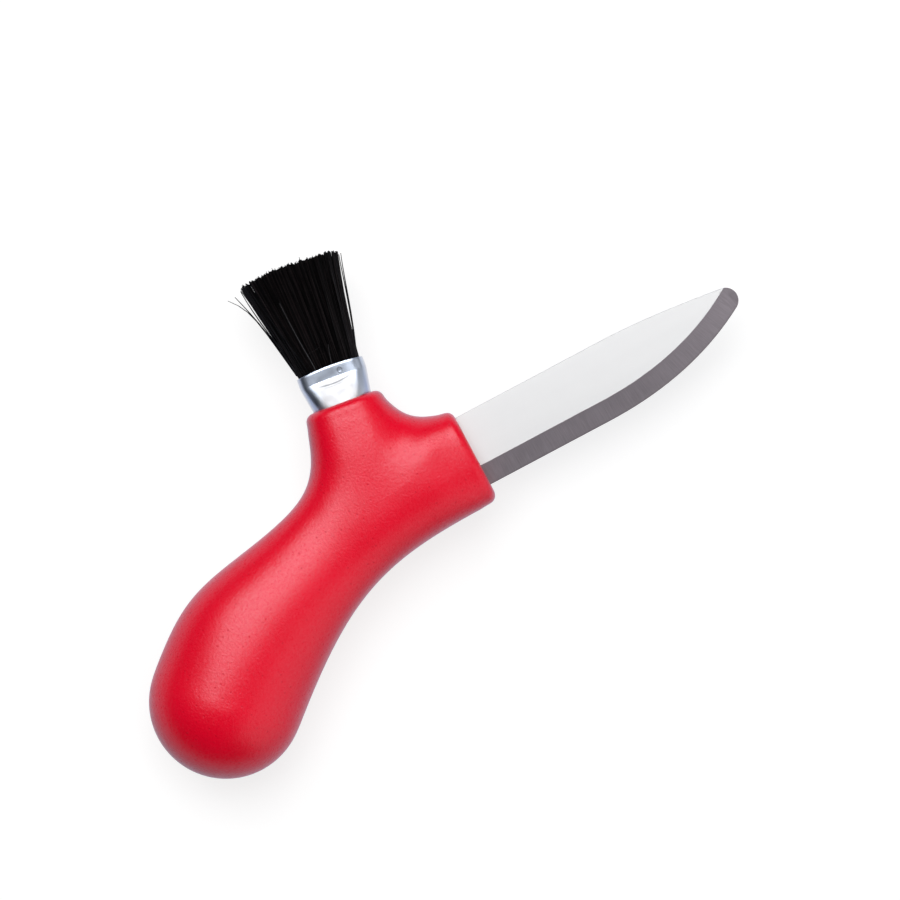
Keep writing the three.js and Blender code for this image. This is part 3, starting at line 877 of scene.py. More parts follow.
@dataclass
class Handle:
    """The moulded handle: bulb, grip, bolster and collar in one skin."""

    knife: KnifeFrame
    node: bpy.types.Object
    finish: PlasticFinish = field(default_factory=PlasticFinish)
    slot_half: float = 1.35
    slot_reach: float = 8.75
    root_depth: float = 3.0
    tang_top: float = 5.0
    bore: float = 6.9
    socket_depth: float = 15.0
    seat_radius: float = 6.6
    seat_depth: float = 3.0
    face_share: float = 0.9
    flat: float = 0.02
    rim: float = 0.5
    quad_fold: float = 50.0
    quad_skew: float = 70.0
    levels: int = 2
    keep: float = 2.5
    smoothing: int = 30
    smoothing_step: float = 0.5
    give_back: float = 0.14

    def build(self) -> bpy.types.Object:
        """Model the skin from the CAD solid: close its mouths again and subdivide it.

        Returns:
            The finished piece.
        """
        skin = copy_of(self.node, "handle_skin")
        edit(skin)
        choose(skin, Element.FACE, lambda face: all(self._inside(point.co) for point in face.verts))
        bpy.ops.mesh.delete(type="FACE")
        bpy.ops.mesh.select_all(action="SELECT")
        bpy.ops.mesh.tris_convert_to_quads(
            face_threshold=math.radians(self.quad_fold), shape_threshold=math.radians(self.quad_skew)
        )
        self._seat_collar(skin)
        self._close_bolster(skin)
        close()
        apply(skin, "SUBSURF", levels=self.levels, render_levels=self.levels)
        self._soften(skin)
        take(skin)
        bpy.ops.object.shade_smooth()
        return skin

    def _inside(self, place: Vector) -> bool:
        """Say whether a point lies on a mouth's flat face, in the slot or in the socket.

        Args:
            place: A point of the CAD solid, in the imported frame.

        Returns:
            Whether it is covered or hidden, so that the skin leaves it out.
        """
        at = self.knife.blade_place(place)
        in_root = abs(at.y) < self.slot_reach
        in_tang = at.x < -self.root_depth and at.y < self.tang_top
        in_slot = at.x < 0 and abs(at.z) < self.slot_half and (in_root or in_tang)
        round_brush = self.knife.brush_place(place)
        off_axis = math.hypot(round_brush.x, round_brush.y)
        in_socket = -self.socket_depth < round_brush.z < self.flat and off_axis < self.bore
        on_face = abs(at.x) < self.flat or abs(round_brush.z) < self.flat
        return on_face or in_slot or in_socket

    def _on_collar_rim(self, edge: bmesh.types.BMEdge) -> bool:
        """Say whether an edge is open and lies at the collar's face."""
        heights = [self.knife.brush_place(point.co).z for point in edge.verts]
        return edge.is_boundary and all(abs(height) < self.rim for height in heights)

    def _on_bolster_rim(self, edge: bmesh.types.BMEdge) -> bool:
        """Say whether an edge is open and lies at the bolster's face."""
        reaches = [self.knife.blade_place(point.co).x for point in edge.verts]
        return edge.is_boundary and all(abs(reach) < self.rim for reach in reaches)

    def _seat_collar(self, skin: bpy.types.Object) -> None:
        """Draw the collar's open rim in to a circle round the ferrule, then down into the socket.

        Args:
            skin: The skin, in edit mode.
        """
        brush = self.knife.brush()
        choose(skin, Element.EDGE, self._on_collar_rim)
        extrude(Vector())
        mesh = bmesh.from_edit_mesh(skin.data)
        for point in mesh.verts:
            if point.select:
                at = self.knife.brush_place(point.co)
                share = self.seat_radius / math.hypot(at.x, at.y)
                point.co = brush @ (Vector((at.x * share, at.y * share, at.z)) * MM)
        bmesh.update_edit_mesh(skin.data)
        extrude(brush.to_3x3() @ Vector((0, 0, -self.seat_depth * MM)))

    def _close_bolster(self, skin: bpy.types.Object) -> None:
        """Close the bolster's face, with a loop inside its rim that keeps the rim firm.

        Args:
            skin: The skin, in edit mode.
        """
        choose(skin, Element.EDGE, self._on_bolster_rim)
        extrude(Vector())
        widen(self.face_share, self.knife.point(0, 0))
        bpy.ops.mesh.edge_face_add()

    def _soften(self, skin: bpy.types.Object) -> None:
        """Smooth the skin where its limbs run together and swell it back, all but its two mouths.

        Args:
            skin: The subdivided skin.
        """
        body = skin.vertex_groups.new(name="body")
        for point in skin.data.vertices:
            behind_face = -self.knife.blade_place(point.co).x
            below_collar = -self.knife.brush_place(point.co).z
            share = ease((min(behind_face, below_collar) - self.keep) / self.keep)
            body.add([point.index], share, "REPLACE")
        step = self.smoothing_step
        apply(skin, "SMOOTH", factor=step, iterations=self.smoothing, vertex_group=body.name)
        apply(skin, "DISPLACE", strength=self.give_back * MM, mid_level=0.0, vertex_group=body.name)

    def dress(self, skin: bpy.types.Object, effects: Effects) -> None:
        """Give the skin its plastic."""
        dress(skin, self.finish.material(effects, self.knife.origin.z), "red_plastic", "handle")


# The blade


@dataclass
class Blade:
    """The fixed blade with its ground bevels and eased spine."""

    knife: KnifeFrame
    node: bpy.types.Object
    finish: BladeFinish = field(default_factory=BladeFinish)
    half_thickness: float = 1.0
    spine_break: float = 0.07
    nearly: float = 0.02
    wall_lift: float = 0.2
    flat_lift: float = 0.99
    bevel_lift: tuple[float, float] = (0.93, 0.9995)
    root_length: float = 7.0
    land: float = 0.06
    edge_top: float = 6.0
    edge_step: float = 0.05
    fan_centre: tuple[float, float] = (30.0, 8.0)
    flat_turn: float = 0.3
    shade_turn: float = 9.5

    def build(self) -> bpy.types.Object:
        """Model the blade from the CAD solid: break its spine and mark its ground faces.

        Returns:
            The finished piece.
        """
        blade = copy_of(self.node, "blade_steel_plate")
        edit(blade)
        bpy.ops.mesh.select_all(action="SELECT")
        bpy.ops.mesh.dissolve_limited(angle_limit=math.radians(self.flat_turn))
        choose(blade, Element.EDGE, self._on_spine)
        bpy.ops.mesh.bevel(offset=self.spine_break * MM, segments=1, affect="EDGES")
        close()
        take(blade)
        bpy.ops.object.shade_smooth_by_angle(angle=math.radians(self.shade_turn))
        self._map(blade, self._edge_line(blade))
        self._mark(blade)
        return blade

    def _on_spine(self, edge: bmesh.types.BMEdge) -> bool:
        """Say whether an edge runs between a flat and the spine, outside the handle.

        Args:
            edge: An edge of the blade.

        Returns:
            Whether the spine's break runs along it.
        """
        if len(edge.link_faces) != 2:
            return False
        lifts = sorted(abs(face.normal.z) for face in edge.link_faces)
        ends = [self.knife.blade_place(point.co) for point in edge.verts]
        outside = all(end.x > -self.nearly and end.y > 0 for end in ends)
        level = all(abs(abs(end.z) - self.half_thickness) < self.nearly for end in ends)
        return outside and level and lifts[0] < self.wall_lift and lifts[1] > self.flat_lift

    def _edge_line(self, blade: bpy.types.Object) -> list[Vector]:
        """Find the cutting edge.

        Args:
            blade: The blade.

        Returns:
            Points in the blade frame, from root to tip.
        """
        places = [self.knife.blade_place(point.co) for point in blade.data.vertices]
        keen = [Vector((place.x, place.y)) for place in places if abs(place.z) < self.land]
        middle = Vector(self.fan_centre)
        below = [place for place in keen if place.y < self.edge_top and place.x > -self.root_length]
        below.sort(key=lambda place: math.atan2(place.y - middle.y, place.x - middle.x))
        line = [below[0]]
        for place in below[1:]:
            if (place - line[-1]).length > self.edge_step:
                line.append(place)
        return line

    def _map(self, blade: bpy.types.Object, line: list[Vector]) -> None:
        """Write how far each corner lies from the edge and how far along it, as the grinding's map.

        Args:
            blade: The blade.
            line: The cutting edge.
        """
        starts = np.array([place[:] for place in line[:-1]])
        steps = np.array([place[:] for place in line[1:]]) - starts
        lengths = np.linalg.norm(steps, axis=1)
        before = np.concatenate([[0.0], np.cumsum(lengths)[:-1]])
        layer = blade.data.uv_layers.new(name="grind")
        for loop in blade.data.loops:
            at = self.knife.blade_place(blade.data.vertices[loop.vertex_index].co)
            offset = np.array([at.x, at.y]) - starts
            share = np.clip(np.sum(offset * steps, axis=1) / lengths**2, 0, 1)
            gaps = np.linalg.norm(offset - steps * share[:, None], axis=1)
            nearest = int(np.argmin(gaps))
            along = before[nearest] + share[nearest] * lengths[nearest]
            layer.data[loop.index].uv = (gaps[nearest], along)

    def _mark(self, blade: bpy.types.Object) -> None:
        """Mark which faces are ground.

        Args:
            blade: The blade.
        """
        low, high = self.bevel_lift
        ground = blade.data.attributes.new("ground", "FLOAT", "FACE")
        for face in blade.data.polygons:
            ends = [self.knife.blade_place(blade.data.vertices[index].co) for index in face.vertices]
            sloped = low < abs(face.normal.z) < high
            past_root = all(end.x > -self.root_length for end in ends)
            ground.data[face.index].value = 1.0 if sloped and past_root else 0.0

    def dress(self, blade: bpy.types.Object, effects: Effects) -> None:
        """Give the blade its steel."""
        dress(blade, self.finish.material(effects), "blade_steel", "blade")


# The brush


@dataclass
class Ferrule:
    """The sheet-metal tube that grips the bristles, flattened and crimped at its mouth."""

    knife: KnifeFrame
    finish: FerruleFinish = field(default_factory=FerruleFinish)
    radius: float = 6.55
    wall: float = 0.4
    exposed: float = 8.1
    seated: float = 5.0
    mouth_half_width: float = 7.75
    mouth_half_depth: float = 5.0
    fullness: float = 4.2
    taper_lead: float = 1.2
    square_lead: float = 1.9
    square_curve: float = 0.75
    flat_curve: int = 4
    bow: float = 0.6
    bow_curve: int = 3
    lip: float = 0.36
    lip_slope: float = 0.25
    band: float = 2.4
    press: float = 0.2
    press_curve: int = 4
    press_edge: float = 5.4
    press_fade: float = 2.8
    press_ease: float = 0.9
    dimple_radius: float = 0.62
    dimple_depth: float = 0.045
    dimple_offset: float = 2.0
    dimple_drop: float = 0.3
    fold_depth: float = 0.1
    fold_width: float = 0.3
    fold_half_length: float = 5.6
    fold_dip: float = 1.45
    front_lean: float = 0.04
    back_lean: float = -0.02
    edge_round: float = 0.14
    edge_turn: float = 60.0
    shade_turn: float = 50.0
    sides: int = 144
    shaft_rings: tuple[float, ...] = (-1.0, 0.0, 0.7, 1.4, 2.1, 2.8, 3.4, 3.9)
    fold_rings: int = 16
    band_rings: int = 24

    @property
    def crease(self) -> float:
        """The height where the crimped band starts."""
        return self.exposed - self.band

    def heights(self) -> list[float]:
        """Space the tube's rings, closer together where the sheet is pressed.

        Returns:
            The heights, from the seat to the mouth.
        """
        shaft = [-self.seated, *self.shaft_rings]
        rise = self.crease - shaft[-1]
        fold = [shaft[-1] + rise * step / self.fold_rings for step in range(1, self.fold_rings + 1)]
        band = [self.crease + self.band * step / self.band_rings for step in range(1, self.band_rings + 1)]
        return shaft + fold + band

    def build(self) -> bpy.types.Object:
        """Model the tube: draw a ring out height by height, press it, and give it a wall.

        Returns:
            The finished piece.
        """
        heights = self.heights()
        start = (0, 0, heights[0] * MM)
        bpy.ops.object.select_all(action="DESELECT")
        bpy.ops.mesh.primitive_circle_add(
            vertices=self.sides, radius=self.radius * MM, fill_type="NOTHING", location=start
        )
        tube = bpy.context.object
        tube.name = "ferrule_sheet"
        tube.data.name = "ferrule_sheet"
        bpy.ops.object.transform_apply(location=True, rotation=True, scale=True)
        edit(tube)
        bpy.ops.mesh.select_all(action="SELECT")
        for low, high in zip(heights, heights[1:]):
            extrude(Vector((0, 0, (high - low) * MM)))
        bpy.ops.mesh.select_all(action="SELECT")
        bpy.ops.mesh.normals_make_consistent(inside=False)
        close()
        self._unroll(tube)
        for point in tube.data.vertices:
            point.co = self._pressed(point.co)
        apply(tube, "SOLIDIFY", thickness=self.wall * MM, offset=-1.0, use_even_offset=True)
        sharp = math.radians(self.edge_turn)
        rounding = self.edge_round * MM
        apply(tube, "BEVEL", width=rounding, segments=2, limit_method="ANGLE", angle_limit=sharp)
        take(tube)
        bpy.ops.object.shade_smooth_by_angle(angle=math.radians(self.shade_turn))
        settle(tube, self.knife.brush())
        return tube

    def _unroll(self, tube: bpy.types.Object) -> None:
        """Write each corner's height and its distance round the tube as the sheet's own map.

        Args:
            tube: The tube, still round.
        """
        layer = tube.data.uv_layers.new(name="sheet")
        for face in tube.data.polygons:
            places = [tube.data.vertices[index].co for index in face.vertices]
            turns = [math.atan2(place.x, -place.y) for place in places]
            wraps = max(turns) - min(turns) > math.pi
            for loop, place, turn in zip(face.loop_indices, places, turns):
                full = turn + 2 * math.pi if wraps and turn < 0 else turn
                layer.data[loop].uv = (place.z / MM, full * self.radius)

    def _pressed(self, place: Vector) -> Vector:
        """Move a point of the round tube to where the press leaves it.

        Args:
            place: A point of the round tube.

        Returns:
            The point's new place.
        """
        height = place.z / MM
        share = self._progress(height, self.taper_lead)
        square = self._progress(height, self.square_lead) ** self.square_curve
        half_width = mix(self.radius, self.mouth_half_width, share)
        half_depth = mix(self.radius, self.mouth_half_depth, share)
        power = mix(2.0, self.fullness, square)
        turn = math.atan2(place.y, place.x)
        wide = abs(math.cos(turn)) / half_width
        deep = abs(math.sin(turn)) / half_depth
        reach = (wide**power + deep**power) ** (-1 / power)
        x = reach * math.cos(turn)
        y = reach * math.sin(turn)
        flat_share = 1 - min(1.0, abs(x) / half_width) ** self.flat_curve
        facing = Facing.FRONT if y < 0 else Facing.BACK
        inward = -math.sin(turn) * flat_share * self._dent(x, height, share, facing)
        lift = self.bow * max(0.0, height / self.exposed) ** self.bow_curve
        arch = lift * (1 - (x / half_width) ** 2)
        return Vector((x, y + inward, height + arch)) * MM

    def _progress(self, height: float, lead: float) -> float:
        """Return how far the tube has gone from round to pressed at a height, from 0 to 1."""
        return min(1.0, max(0.0, (height + lead) / (self.crease + lead)))

    def _dent(self, x: float, height: float, share: float, facing: Facing) -> float:
        """Return how far the crimp, the lip, the fold and the staking mark press a place in.

        Args:
            x: How far across the flat the place is.
            height: How far up the tube it is.
            share: How far the tube has gone from round to pressed there.
            facing: Which flat it is on.

        Returns:
            The depth.
        """
        front = facing is Facing.FRONT
        eased = 1 - self.press_ease * (height - self.crease) / self.band
        depth = self.press * (share**self.press_curve if height < self.crease else eased)
        depth *= ease((self.press_edge - x) / self.press_fade) if front else 1.0
        depth += self.lip_slope * max(0.0, height - self.exposed + self.lip)
        depth += self._fold(x, height, facing)
        if front:
            mark = self.exposed - self.band / 2 - self.dimple_drop
            away = math.hypot(x - self.dimple_offset, height - mark)
            depth += self.dimple_depth * (1 - ease(away / self.dimple_radius))
        return depth

    def _fold(self, x: float, height: float, facing: Facing) -> float:
        """Work out the shallow curved fold under the crimp.

        Args:
            x: How far across the flat the place is.
            height: How far up the tube it is.
            facing: Which flat it is on.

        Returns:
            The fold's depth there.
        """
        lean = self.front_lean if facing is Facing.FRONT else self.back_lean
        dip = self.fold_dip * max(0.0, 1 - (x / self.fold_half_length) ** 2)
        off = height - (self.crease - dip + lean * x)
        wide = ease(1 - abs(x) / self.fold_half_length)
        return self.fold_depth * wide * math.exp(-((off / self.fold_width) ** 2))

    def dress(self, tube: bpy.types.Object, effects: Effects) -> None:
        """Give the ferrule its metal."""
        dress(tube, self.finish.material(effects), "ferrule_metal", "ferrule")


@dataclass(frozen=True)
class Strand:
    """One bristle: its path in the brush frame, its radius and its tone."""

    path: np.ndarray
    radius: float
    tone: float


@dataclass(frozen=True)
class LooseHair:
    """One hair that stands off the brush, by its places across, behind and along it."""

    across: tuple[float, ...]
    behind: tuple[float, ...]
    along: tuple[float, ...]
    tone: float = 0.2
    radius: float = 0.15
    bends: int = 3

    def strand(self, rings: int) -> Strand:
        """Spread the places evenly along a smooth line.

        Args:
            rings: How many steps the line has.

        Returns:
            The hair as a strand.
        """
        marks = np.linspace(0, 1, len(self.along))
        even = np.linspace(0, 1, rings + 1)
        degree = min(self.bends, len(self.along) - 1)
        curves = [np.polyfit(marks, places, degree) for places in (self.across, self.behind, self.along)]
        path = np.stack([np.polyval(curve, even) for curve in curves], axis=1)
        return Strand(path, self.radius, self.tone)


@dataclass(frozen=True)
class Comb:
    """The uneven teeth that the fan's tips gather in, across its width from -1 to 1."""

    notches: np.ndarray
    lifts: np.ndarray
    pitch: float

    @classmethod
    def cut(cls, teeth: int, unevenness: float, lift: float, chance: np.random.Generator) -> "Comb":
        """Cut the teeth.

        Args:
            teeth: How many there are.
            unevenness: How far a notch strays, as a share of the pitch.
            lift: How far a tooth stands above or below the rest.
            chance: The source of chance.

        Returns:
            The comb.
        """
        pitch = 2 / teeth
        shifts = chance.uniform(-unevenness, unevenness, teeth + 1) * pitch
        lifts = chance.uniform(-lift, lift, teeth)
        return cls(np.linspace(-1, 1, teeth + 1) + shifts, lifts, pitch)

    def tooth(self, across: float) -> tuple[float, float]:
        """Find the tooth that a place belongs to.

        Args:
            across: A place across the fan.

        Returns:
            How far the place is from the tooth's middle, and the tooth's lift.
        """
        number = int(np.clip(np.searchsorted(self.notches, across) - 1, 0, len(self.lifts) - 1))
        middle = (self.notches[number] + self.notches[number + 1]) / 2
        return across - middle, self.lifts[number]


@dataclass
class BristleFan:
    """The bristles, as thin tapering strands that lean out with the fan in small clumps."""

    knife: KnifeFrame
    finish: BristleFinish = field(default_factory=BristleFinish)
    tufts: int = 4
    strands: int = 2600
    mouth: float = 8.1
    root_below: float = 2.2
    root_half_width: float = 6.75
    root_half_depth: float = 3.95
    fullness: float = 3.6
    mouth_area: float = 3.45
    shake: float = 0.38
    length: float = 24.6
    slant: float = 0.1
    fan_half_width: float = 11.25
    fan_lean: float = -0.55
    fan_half_depth: float = 5.3
    crown: float = 0.75
    teeth: int = 31
    tooth_unevenness: float = 0.4
    tooth_lift: float = 0.25
    tooth_height: float = 0.5
    tooth_gather: float = 0.06
    ragged: float = 0.42
    spike_share: float = 0.05
    spike_height: float = 0.5
    shortest_spike: float = 0.2
    clumps: int = 230
    gather: float = 0.3
    loosest_gather: float = 0.4
    stray: float = 0.03
    cross_share: float = 0.16
    cross_stray: float = 0.13
    side_from: float = 0.86
    fray: float = -0.08
    right_fray: float = 0.03
    fray_curve: int = 3
    radius: float = 0.105
    radius_spread: float = 0.15
    tip_share: float = 0.55
    bow: float = 0.2
    side_hold: float = 0.8
    fan_bend: float = 0.05
    side_bend: float = 0.42
    bend_from: float = 0.6
    corners: int = 4
    rings: int = 6
    shade_turn: float = 80.0
    seed: int = 41

    def loose(self) -> list[LooseHair]:
        """Lay out the loose hairs.

        Returns:
            Seven hairs that stand off the fan's sides, then three pale ones across its front.
        """
        return [
            LooseHair(
                across=(-7.4, -9.7, -11.5, -13.3, -15.9),
                behind=(-1.0, -1.2, -1.6, -2.0, -2.4),
                along=(9.0, 17.6, 23.6, 27.0, 30.0),
            ),
            LooseHair(
                across=(-7.2, -9.4, -11.2, -12.7, -14.2),
                behind=(0.2, 0.4, 0.6, 0.8, 1.0),
                along=(9.0, 17.0, 23.0, 26.6, 30.3),
            ),
            LooseHair(
                across=(-7.0, -9.3, -10.9, -11.9, -12.6),
                behind=(0.8, 1.0, 1.2, 1.4, 1.6),
                along=(9.0, 17.5, 23.0, 27.5, 31.0),
            ),
            LooseHair((-7.0, -9.6, -11.3, -12.2), (-0.6, -0.8, -0.9, -1.0), (12.0, 20.0, 27.0, 31.6)),
            LooseHair((-7.2, -9.2, -10.9, -12.0), (-2.2, -2.6, -3.0, -3.2), (10.0, 18.0, 25.5, 31.3)),
            LooseHair(
                across=(7.0, 8.4, 9.55, 10.4, 11.3),
                behind=(-0.6, -0.8, -1.0, -1.2, -1.3),
                along=(10.0, 16.2, 21.9, 27.0, 31.2),
            ),
            LooseHair((7.0, 8.8, 9.9, 10.8), (-1.8, -2.4, -3.0, -3.2), (10.0, 19.0, 25.6, 31.0)),
            LooseHair(
                across=(-3.0, -3.2, -3.7, -4.5, -5.3),
                behind=(-4.35, -4.75, -4.95, -5.1, -5.2),
                along=(8.0, 10.5, 13.1, 18.6, 25.3),
                tone=2.0,
                radius=0.085,
            ),
            LooseHair((-3.4, -1.8, -0.4), (-4.85, -5.0, -4.9), (12.6, 12.9, 13.2), tone=2.0, radius=0.08),
            LooseHair((0.8, 1.0, 1.6), (-4.3, -4.75, -4.9), (8.0, 10.0, 13.2), tone=1.8, radius=0.08),
        ]

    def template(self) -> tuple[np.ndarray, np.ndarray]:
        """Model one straight strand of unit length and width.

        Returns:
            Its points and its four-sided faces.
        """
        bpy.ops.object.select_all(action="DESELECT")
        bpy.ops.mesh.primitive_cylinder_add(
            vertices=self.corners, radius=1.0, depth=1.0, end_fill_type="NGON", location=(0, 0, 0.5)
        )
        strand = bpy.context.object
        bpy.ops.object.transform_apply(location=True, rotation=True, scale=True)
        edit(strand)
        choose(strand, Element.EDGE, lambda edge: abs(edge.verts[0].co.z - edge.verts[1].co.z) > 0.5)
        bpy.ops.mesh.subdivide(number_cuts=self.rings - 1)
        close()
        points = np.array([point.co[:] for point in strand.data.vertices])
        faces = np.array([list(face.vertices) for face in strand.data.polygons])
        bpy.data.objects.remove(strand)
        return points, faces

    def roots(self) -> np.ndarray:
        """Set the roots in the mouth, in shaken rows.

        Returns:
            Each root's place as shares of the mouth's half width and half depth.
        """
        chance = np.random.default_rng(self.seed)
        row_step = math.sin(math.pi / 3)
        area = self.mouth_area * self.root_half_width * self.root_half_depth
        pitch = math.sqrt(area / self.strands / row_step)
        found = []
        rows = int(2 * self.root_half_depth / (pitch * row_step)) + 2
        columns = int(2 * self.root_half_width / pitch) + 2
        for row in range(-rows // 2, rows // 2 + 1):
            for column in range(-columns // 2, columns // 2 + 1):
                shake = chance.uniform(-self.shake, self.shake, 2) * pitch
                x = (column + 0.5 * (row % 2)) * pitch + shake[0]
                y = row * pitch * row_step + shake[1]
                share = np.array([x / self.root_half_width, y / self.root_half_depth])
                if np.sum(np.abs(share) ** self.fullness) <= 1:
                    found.append(share)
        return np.array(found)

    def build(self) -> list[bpy.types.Object]:
        """Model the strands and gather them into tufts, with the loose hairs as a piece of their own.

        Returns:
            The tufts, then the loose hairs.
        """
        roots = self.roots()
        chance = np.random.default_rng(self.seed + 1)
        middles = chance.uniform(-1, 1, (self.clumps, 2))
        comb = Comb.cut(self.teeth, self.tooth_unevenness, self.tooth_lift, chance)
        gaps = np.linalg.norm(roots[:, None, :] - middles[None, :, :], axis=2)
        groups: dict[str, list[Strand]] = {f"bristle_fan_{number + 1}": [] for number in range(self.tufts)}
        tufts = list(groups.values())
        for root, clump in zip(roots, np.argmin(gaps, axis=1)):
            number = min(self.tufts - 1, int((root[0] + 1) / 2 * self.tufts))
            tufts[number].append(self._strand(root, middles[clump], comb, chance))
        groups["loose_hairs"] = [hair.strand(self.rings) for hair in self.loose()]
        points, faces = self.template()
        return [self._gather(name, points, faces, strands) for name, strands in groups.items()]

    def _aim(self, root: np.ndarray, middle: np.ndarray, chance: np.random.Generator) -> np.ndarray:
        """Choose where in the fan a bristle ends, as shares of its half width and half depth.

        Args:
            root: The bristle's root, as shares of the mouth.
            middle: The middle of the clump that it belongs to.
            chance: The source of chance.

        Returns:
            The place.
        """
        aim = root + self.gather * (middle - root) * chance.uniform(self.loosest_gather, 1.0)
        wander = self.cross_stray if chance.uniform() < self.cross_share else self.stray
        aim = np.clip(aim + chance.normal(0, (wander, self.stray)), -1, 1)
        if abs(root[0]) > self.side_from:
            fray = self.fray if root[0] < 0 else self.right_fray
            aim[0] += fray * chance.uniform() ** self.fray_curve
        return aim

    def _strand(
        self, root: np.ndarray, middle: np.ndarray, comb: Comb, chance: np.random.Generator
    ) -> Strand:
        """Lead one bristle from its root to the fan's end.

        Args:
            root: Its root, as shares of the mouth.
            middle: The middle of the clump that it belongs to.
            comb: The teeth at the fan's end.
            chance: The source of chance.

        Returns:
            The bristle.
        """
        aim = self._aim(root, middle, chance)
        off_peak, lift = comb.tooth(aim[0])
        aim[0] -= self.tooth_gather * off_peak
        lift += self.tooth_height * (0.5 - abs(off_peak) / comb.pitch)
        lift += self.ragged * chance.uniform(-1.0, 0.0)
        if chance.uniform() < self.spike_share:
            lift += self.spike_height * chance.uniform(self.shortest_spike, 1.0)
        top = self.mouth + self.length + self.slant * aim[0] - self.crown * aim[0] ** 2 + lift
        low = self.mouth - self.root_below
        start = np.array([root[0] * self.root_half_width, root[1] * self.root_half_depth, low])
        end = np.array([aim[0] * self.fan_half_width + self.fan_lean, aim[1] * self.fan_half_depth, top])

        sway = np.array([*chance.normal(0, self.bow, 2), 0.0])
        outer = max(0.0, abs(root[0]) - self.bend_from) / (1 - self.bend_from)
        sway[0] = sway[0] * (1 - self.side_hold * abs(root[0]) ** 3) - self.fan_bend
        sway[0] -= math.copysign(self.side_bend * outer, root[0])
        share = np.linspace(0, 1, self.rings + 1)[:, None]
        path = start + (end - start) * share + sway * 4 * share * (1 - share)
        radius = self.radius * chance.uniform(1 - self.radius_spread, 1 + self.radius_spread)
        return Strand(path, radius, chance.uniform(0, 1))

    def _gather(
        self, name: str, points: np.ndarray, faces: np.ndarray, strands: list[Strand]
    ) -> bpy.types.Object:
        """Copy the strand along every path and gather the copies into one piece.

        Args:
            name: The piece's name.
            points: The strand's points.
            faces: The strand's faces.
            strands: The bristles to make.

        Returns:
            The piece, in its place.
        """
        marks = np.linspace(0, 1, self.rings + 1)
        rows = np.rint(points[:, 2] * self.rings).astype(int)
        taper = 1 + (self.tip_share - 1) * marks[rows] ** 2
        every_point = []
        for strand in strands:
            placed = strand.path[rows].copy()
            placed[:, :2] += points[:, :2] * (strand.radius * taper)[:, None]
            every_point.append(placed * MM)
        every_face = [faces + number * len(points) for number in range(len(strands))]
        tones = np.repeat([strand.tone for strand in strands], len(points))
        mesh = bpy.data.meshes.new(name)
        mesh.from_pydata(np.concatenate(every_point).tolist(), [], np.concatenate(every_face).tolist())
        mesh.attributes.new("tone", "FLOAT", "POINT").data.foreach_set("value", tones.astype(np.float32))
        piece = bpy.data.objects.new(name, mesh)
        bpy.context.scene.collection.objects.link(piece)
        take(piece)
        bpy.ops.object.shade_smooth_by_angle(angle=math.radians(self.shade_turn))
        settle(piece, self.knife.brush())
        return piece

    def dress(self, pieces: list[bpy.types.Object], effects: Effects) -> None:
        """Give every tuft and the loose hairs their bristle.

        Args:
            pieces: The tufts, then the loose hairs.
            effects: The shared node groups.
        """
        material = self.finish.material(effects)
        for number, piece in enumerate(pieces[:-1]):
            dress(piece, material, "black_bristle", f"bristle_tuft_{number + 1}")
        dress(pieces[-1], material, "black_bristle")


@dataclass
class Setting:
    """The resin that sets the bristles' roots, which stays as its CAD node."""

    node: bpy.types.Object
    finish: ResinFinish = field(default_factory=ResinFinish)

    def dress(self, effects: Effects) -> None:
        """Give the resin its material.

        Args:
            effects: The shared node groups.
        """
        self.node.data.materials.clear()
        self.node.data.materials.append(self.finish.material(effects))
        LOG.info("%s: CAD node with its own resin", self.node.name)


# The studio


@dataclass(frozen=True)
class SoftBox:
    """A rectangular soft light that faces the knife.

    Its tilt is measured from straight above, and its bearing in the picture from the right, upwards.
    """

    name: str
    tilt: float
    bearing: float
    distance: float
    width: float
    length: float
    radiance: float


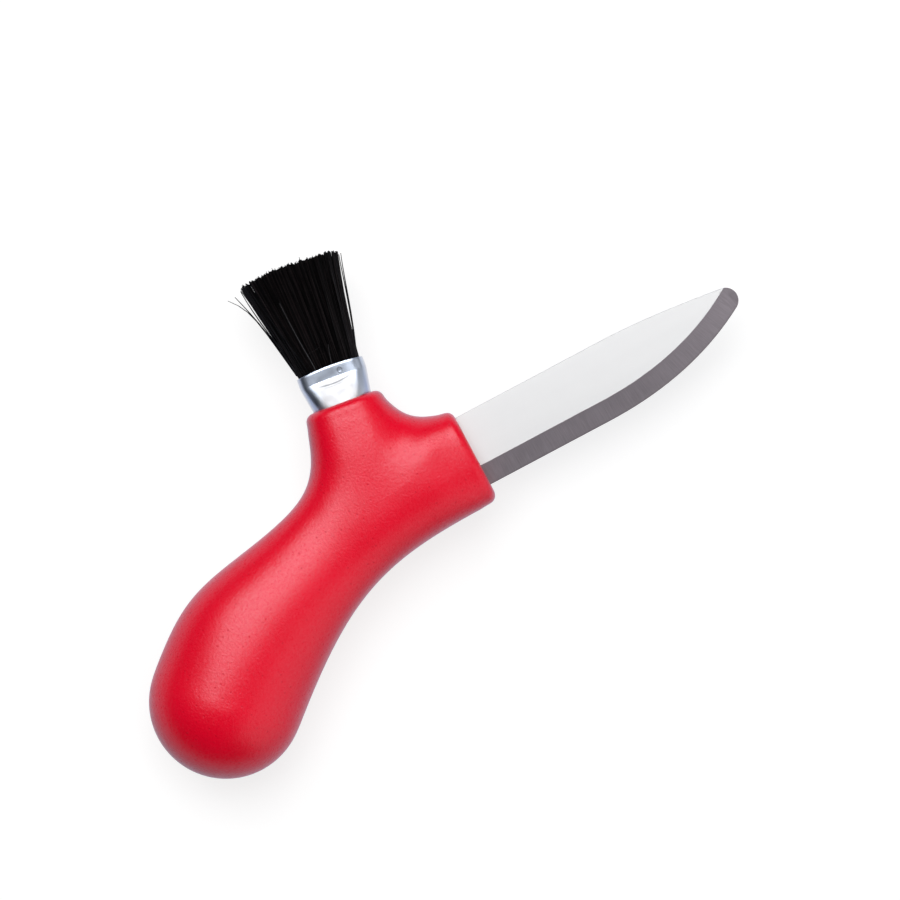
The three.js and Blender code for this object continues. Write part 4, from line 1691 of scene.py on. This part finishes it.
@dataclass
class Studio:
    """The camera, the soft lights and the white floor."""

    knife: KnifeFrame
    picture_turn: float = -28.0
    centre: tuple[float, float] = (-4.385, 2.631)
    picture_width: float = 200.0
    distance: float = 2000.0
    sensor: float = 36.0
    world: float = 0.02
    air: Colour = (0.82, 0.95, 1.2)
    floor_size: float = 7.0
    finish: FloorFinish = field(default_factory=FloorFinish)
    boxes: tuple[SoftBox, ...] = (
        SoftBox("key", 26.6, 109.5, 2.0, 1.78, 1.58, 4.7),
        SoftBox("fill", 62.0, -20.0, 1.5, 2.50, 1.80, 0.85),
    )

    def build(self) -> None:
        """Make the camera, the lights, the world and the floor."""
        self._camera()
        for box in self.boxes:
            self._light(box)
        self._world()
        self._floor()

    def _middle(self) -> Vector:
        """Return the point at the middle of the picture, on the knife's middle plane."""
        return self.knife.point(*self.centre)

    def _camera(self) -> None:
        """Place the camera straight above the knife, turned as the picture is."""
        data = bpy.data.cameras.new("camera")
        data.sensor_width = self.sensor
        data.lens = self.sensor * self.distance / self.picture_width
        camera = bpy.data.objects.new("camera", data)
        camera.location = self._middle() + Vector((0, 0, self.distance * MM))
        camera.rotation_euler = (0, 0, math.radians(self.picture_turn))
        bpy.context.scene.collection.objects.link(camera)
        bpy.context.scene.camera = camera

    def _light(self, box: SoftBox) -> None:
        """Place one soft light.

        Args:
            box: The light's sizes and place.
        """
        data = bpy.data.lights.new(box.name, "AREA")
        data.shape = "RECTANGLE"
        data.size = box.width
        data.size_y = box.length
        data.energy = box.radiance * math.pi * box.width * box.length
        lamp = bpy.data.objects.new(box.name, data)
        tilt = math.radians(box.tilt)
        bearing = math.radians(box.bearing + self.picture_turn)
        aside = math.sin(tilt)
        toward = Vector((aside * math.cos(bearing), aside * math.sin(bearing), math.cos(tilt)))
        lamp.location = self._middle() + toward * box.distance
        lamp.rotation_euler = (-toward).to_track_quat("-Z", "Y").to_euler()
        lamp.visible_camera = False
        bpy.context.scene.collection.objects.link(lamp)

    def _world(self) -> None:
        """Fill the room with an even soft light."""
        world = bpy.data.worlds.new("room")
        world.use_nodes = True
        graph = Graph(world.node_tree)
        air = graph.add("ShaderNodeBackground", {"Color": self.air, "Strength": self.world})
        graph.add("ShaderNodeOutputWorld", {"Surface": air.outputs[0]})
        bpy.context.scene.world = world

    def _floor(self) -> None:
        """Lay the white floor under the knife."""
        bpy.ops.object.select_all(action="DESELECT")
        bpy.ops.mesh.primitive_plane_add(size=self.floor_size, location=(0, 0, 0))
        floor = bpy.context.object
        floor.name = "studio_floor"
        floor.data.materials.append(self.finish.material())


def main() -> None:
    """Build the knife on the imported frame, piece by piece, then the studio."""
    logging.basicConfig(level=logging.INFO, format="%(message)s", stream=sys.stdout)
    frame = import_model()
    bpy.context.scene.view_settings.view_transform = "Standard"
    knife = KnifeFrame.read(frame["record"])
    effects = Effects()

    handle = Handle(knife, frame["nodes"]["handle"])
    handle.dress(handle.build(), effects)
    blade = Blade(knife, frame["nodes"]["blade"])
    blade.dress(blade.build(), effects)
    ferrule = Ferrule(knife)
    ferrule.dress(ferrule.build(), effects)
    fan = BristleFan(knife)
    fan.dress(fan.build(), effects)
    Setting(frame["nodes"]["bristle_setting"]).dress(effects)

    Studio(knife).build()


if __name__ == "__main__":
    main()
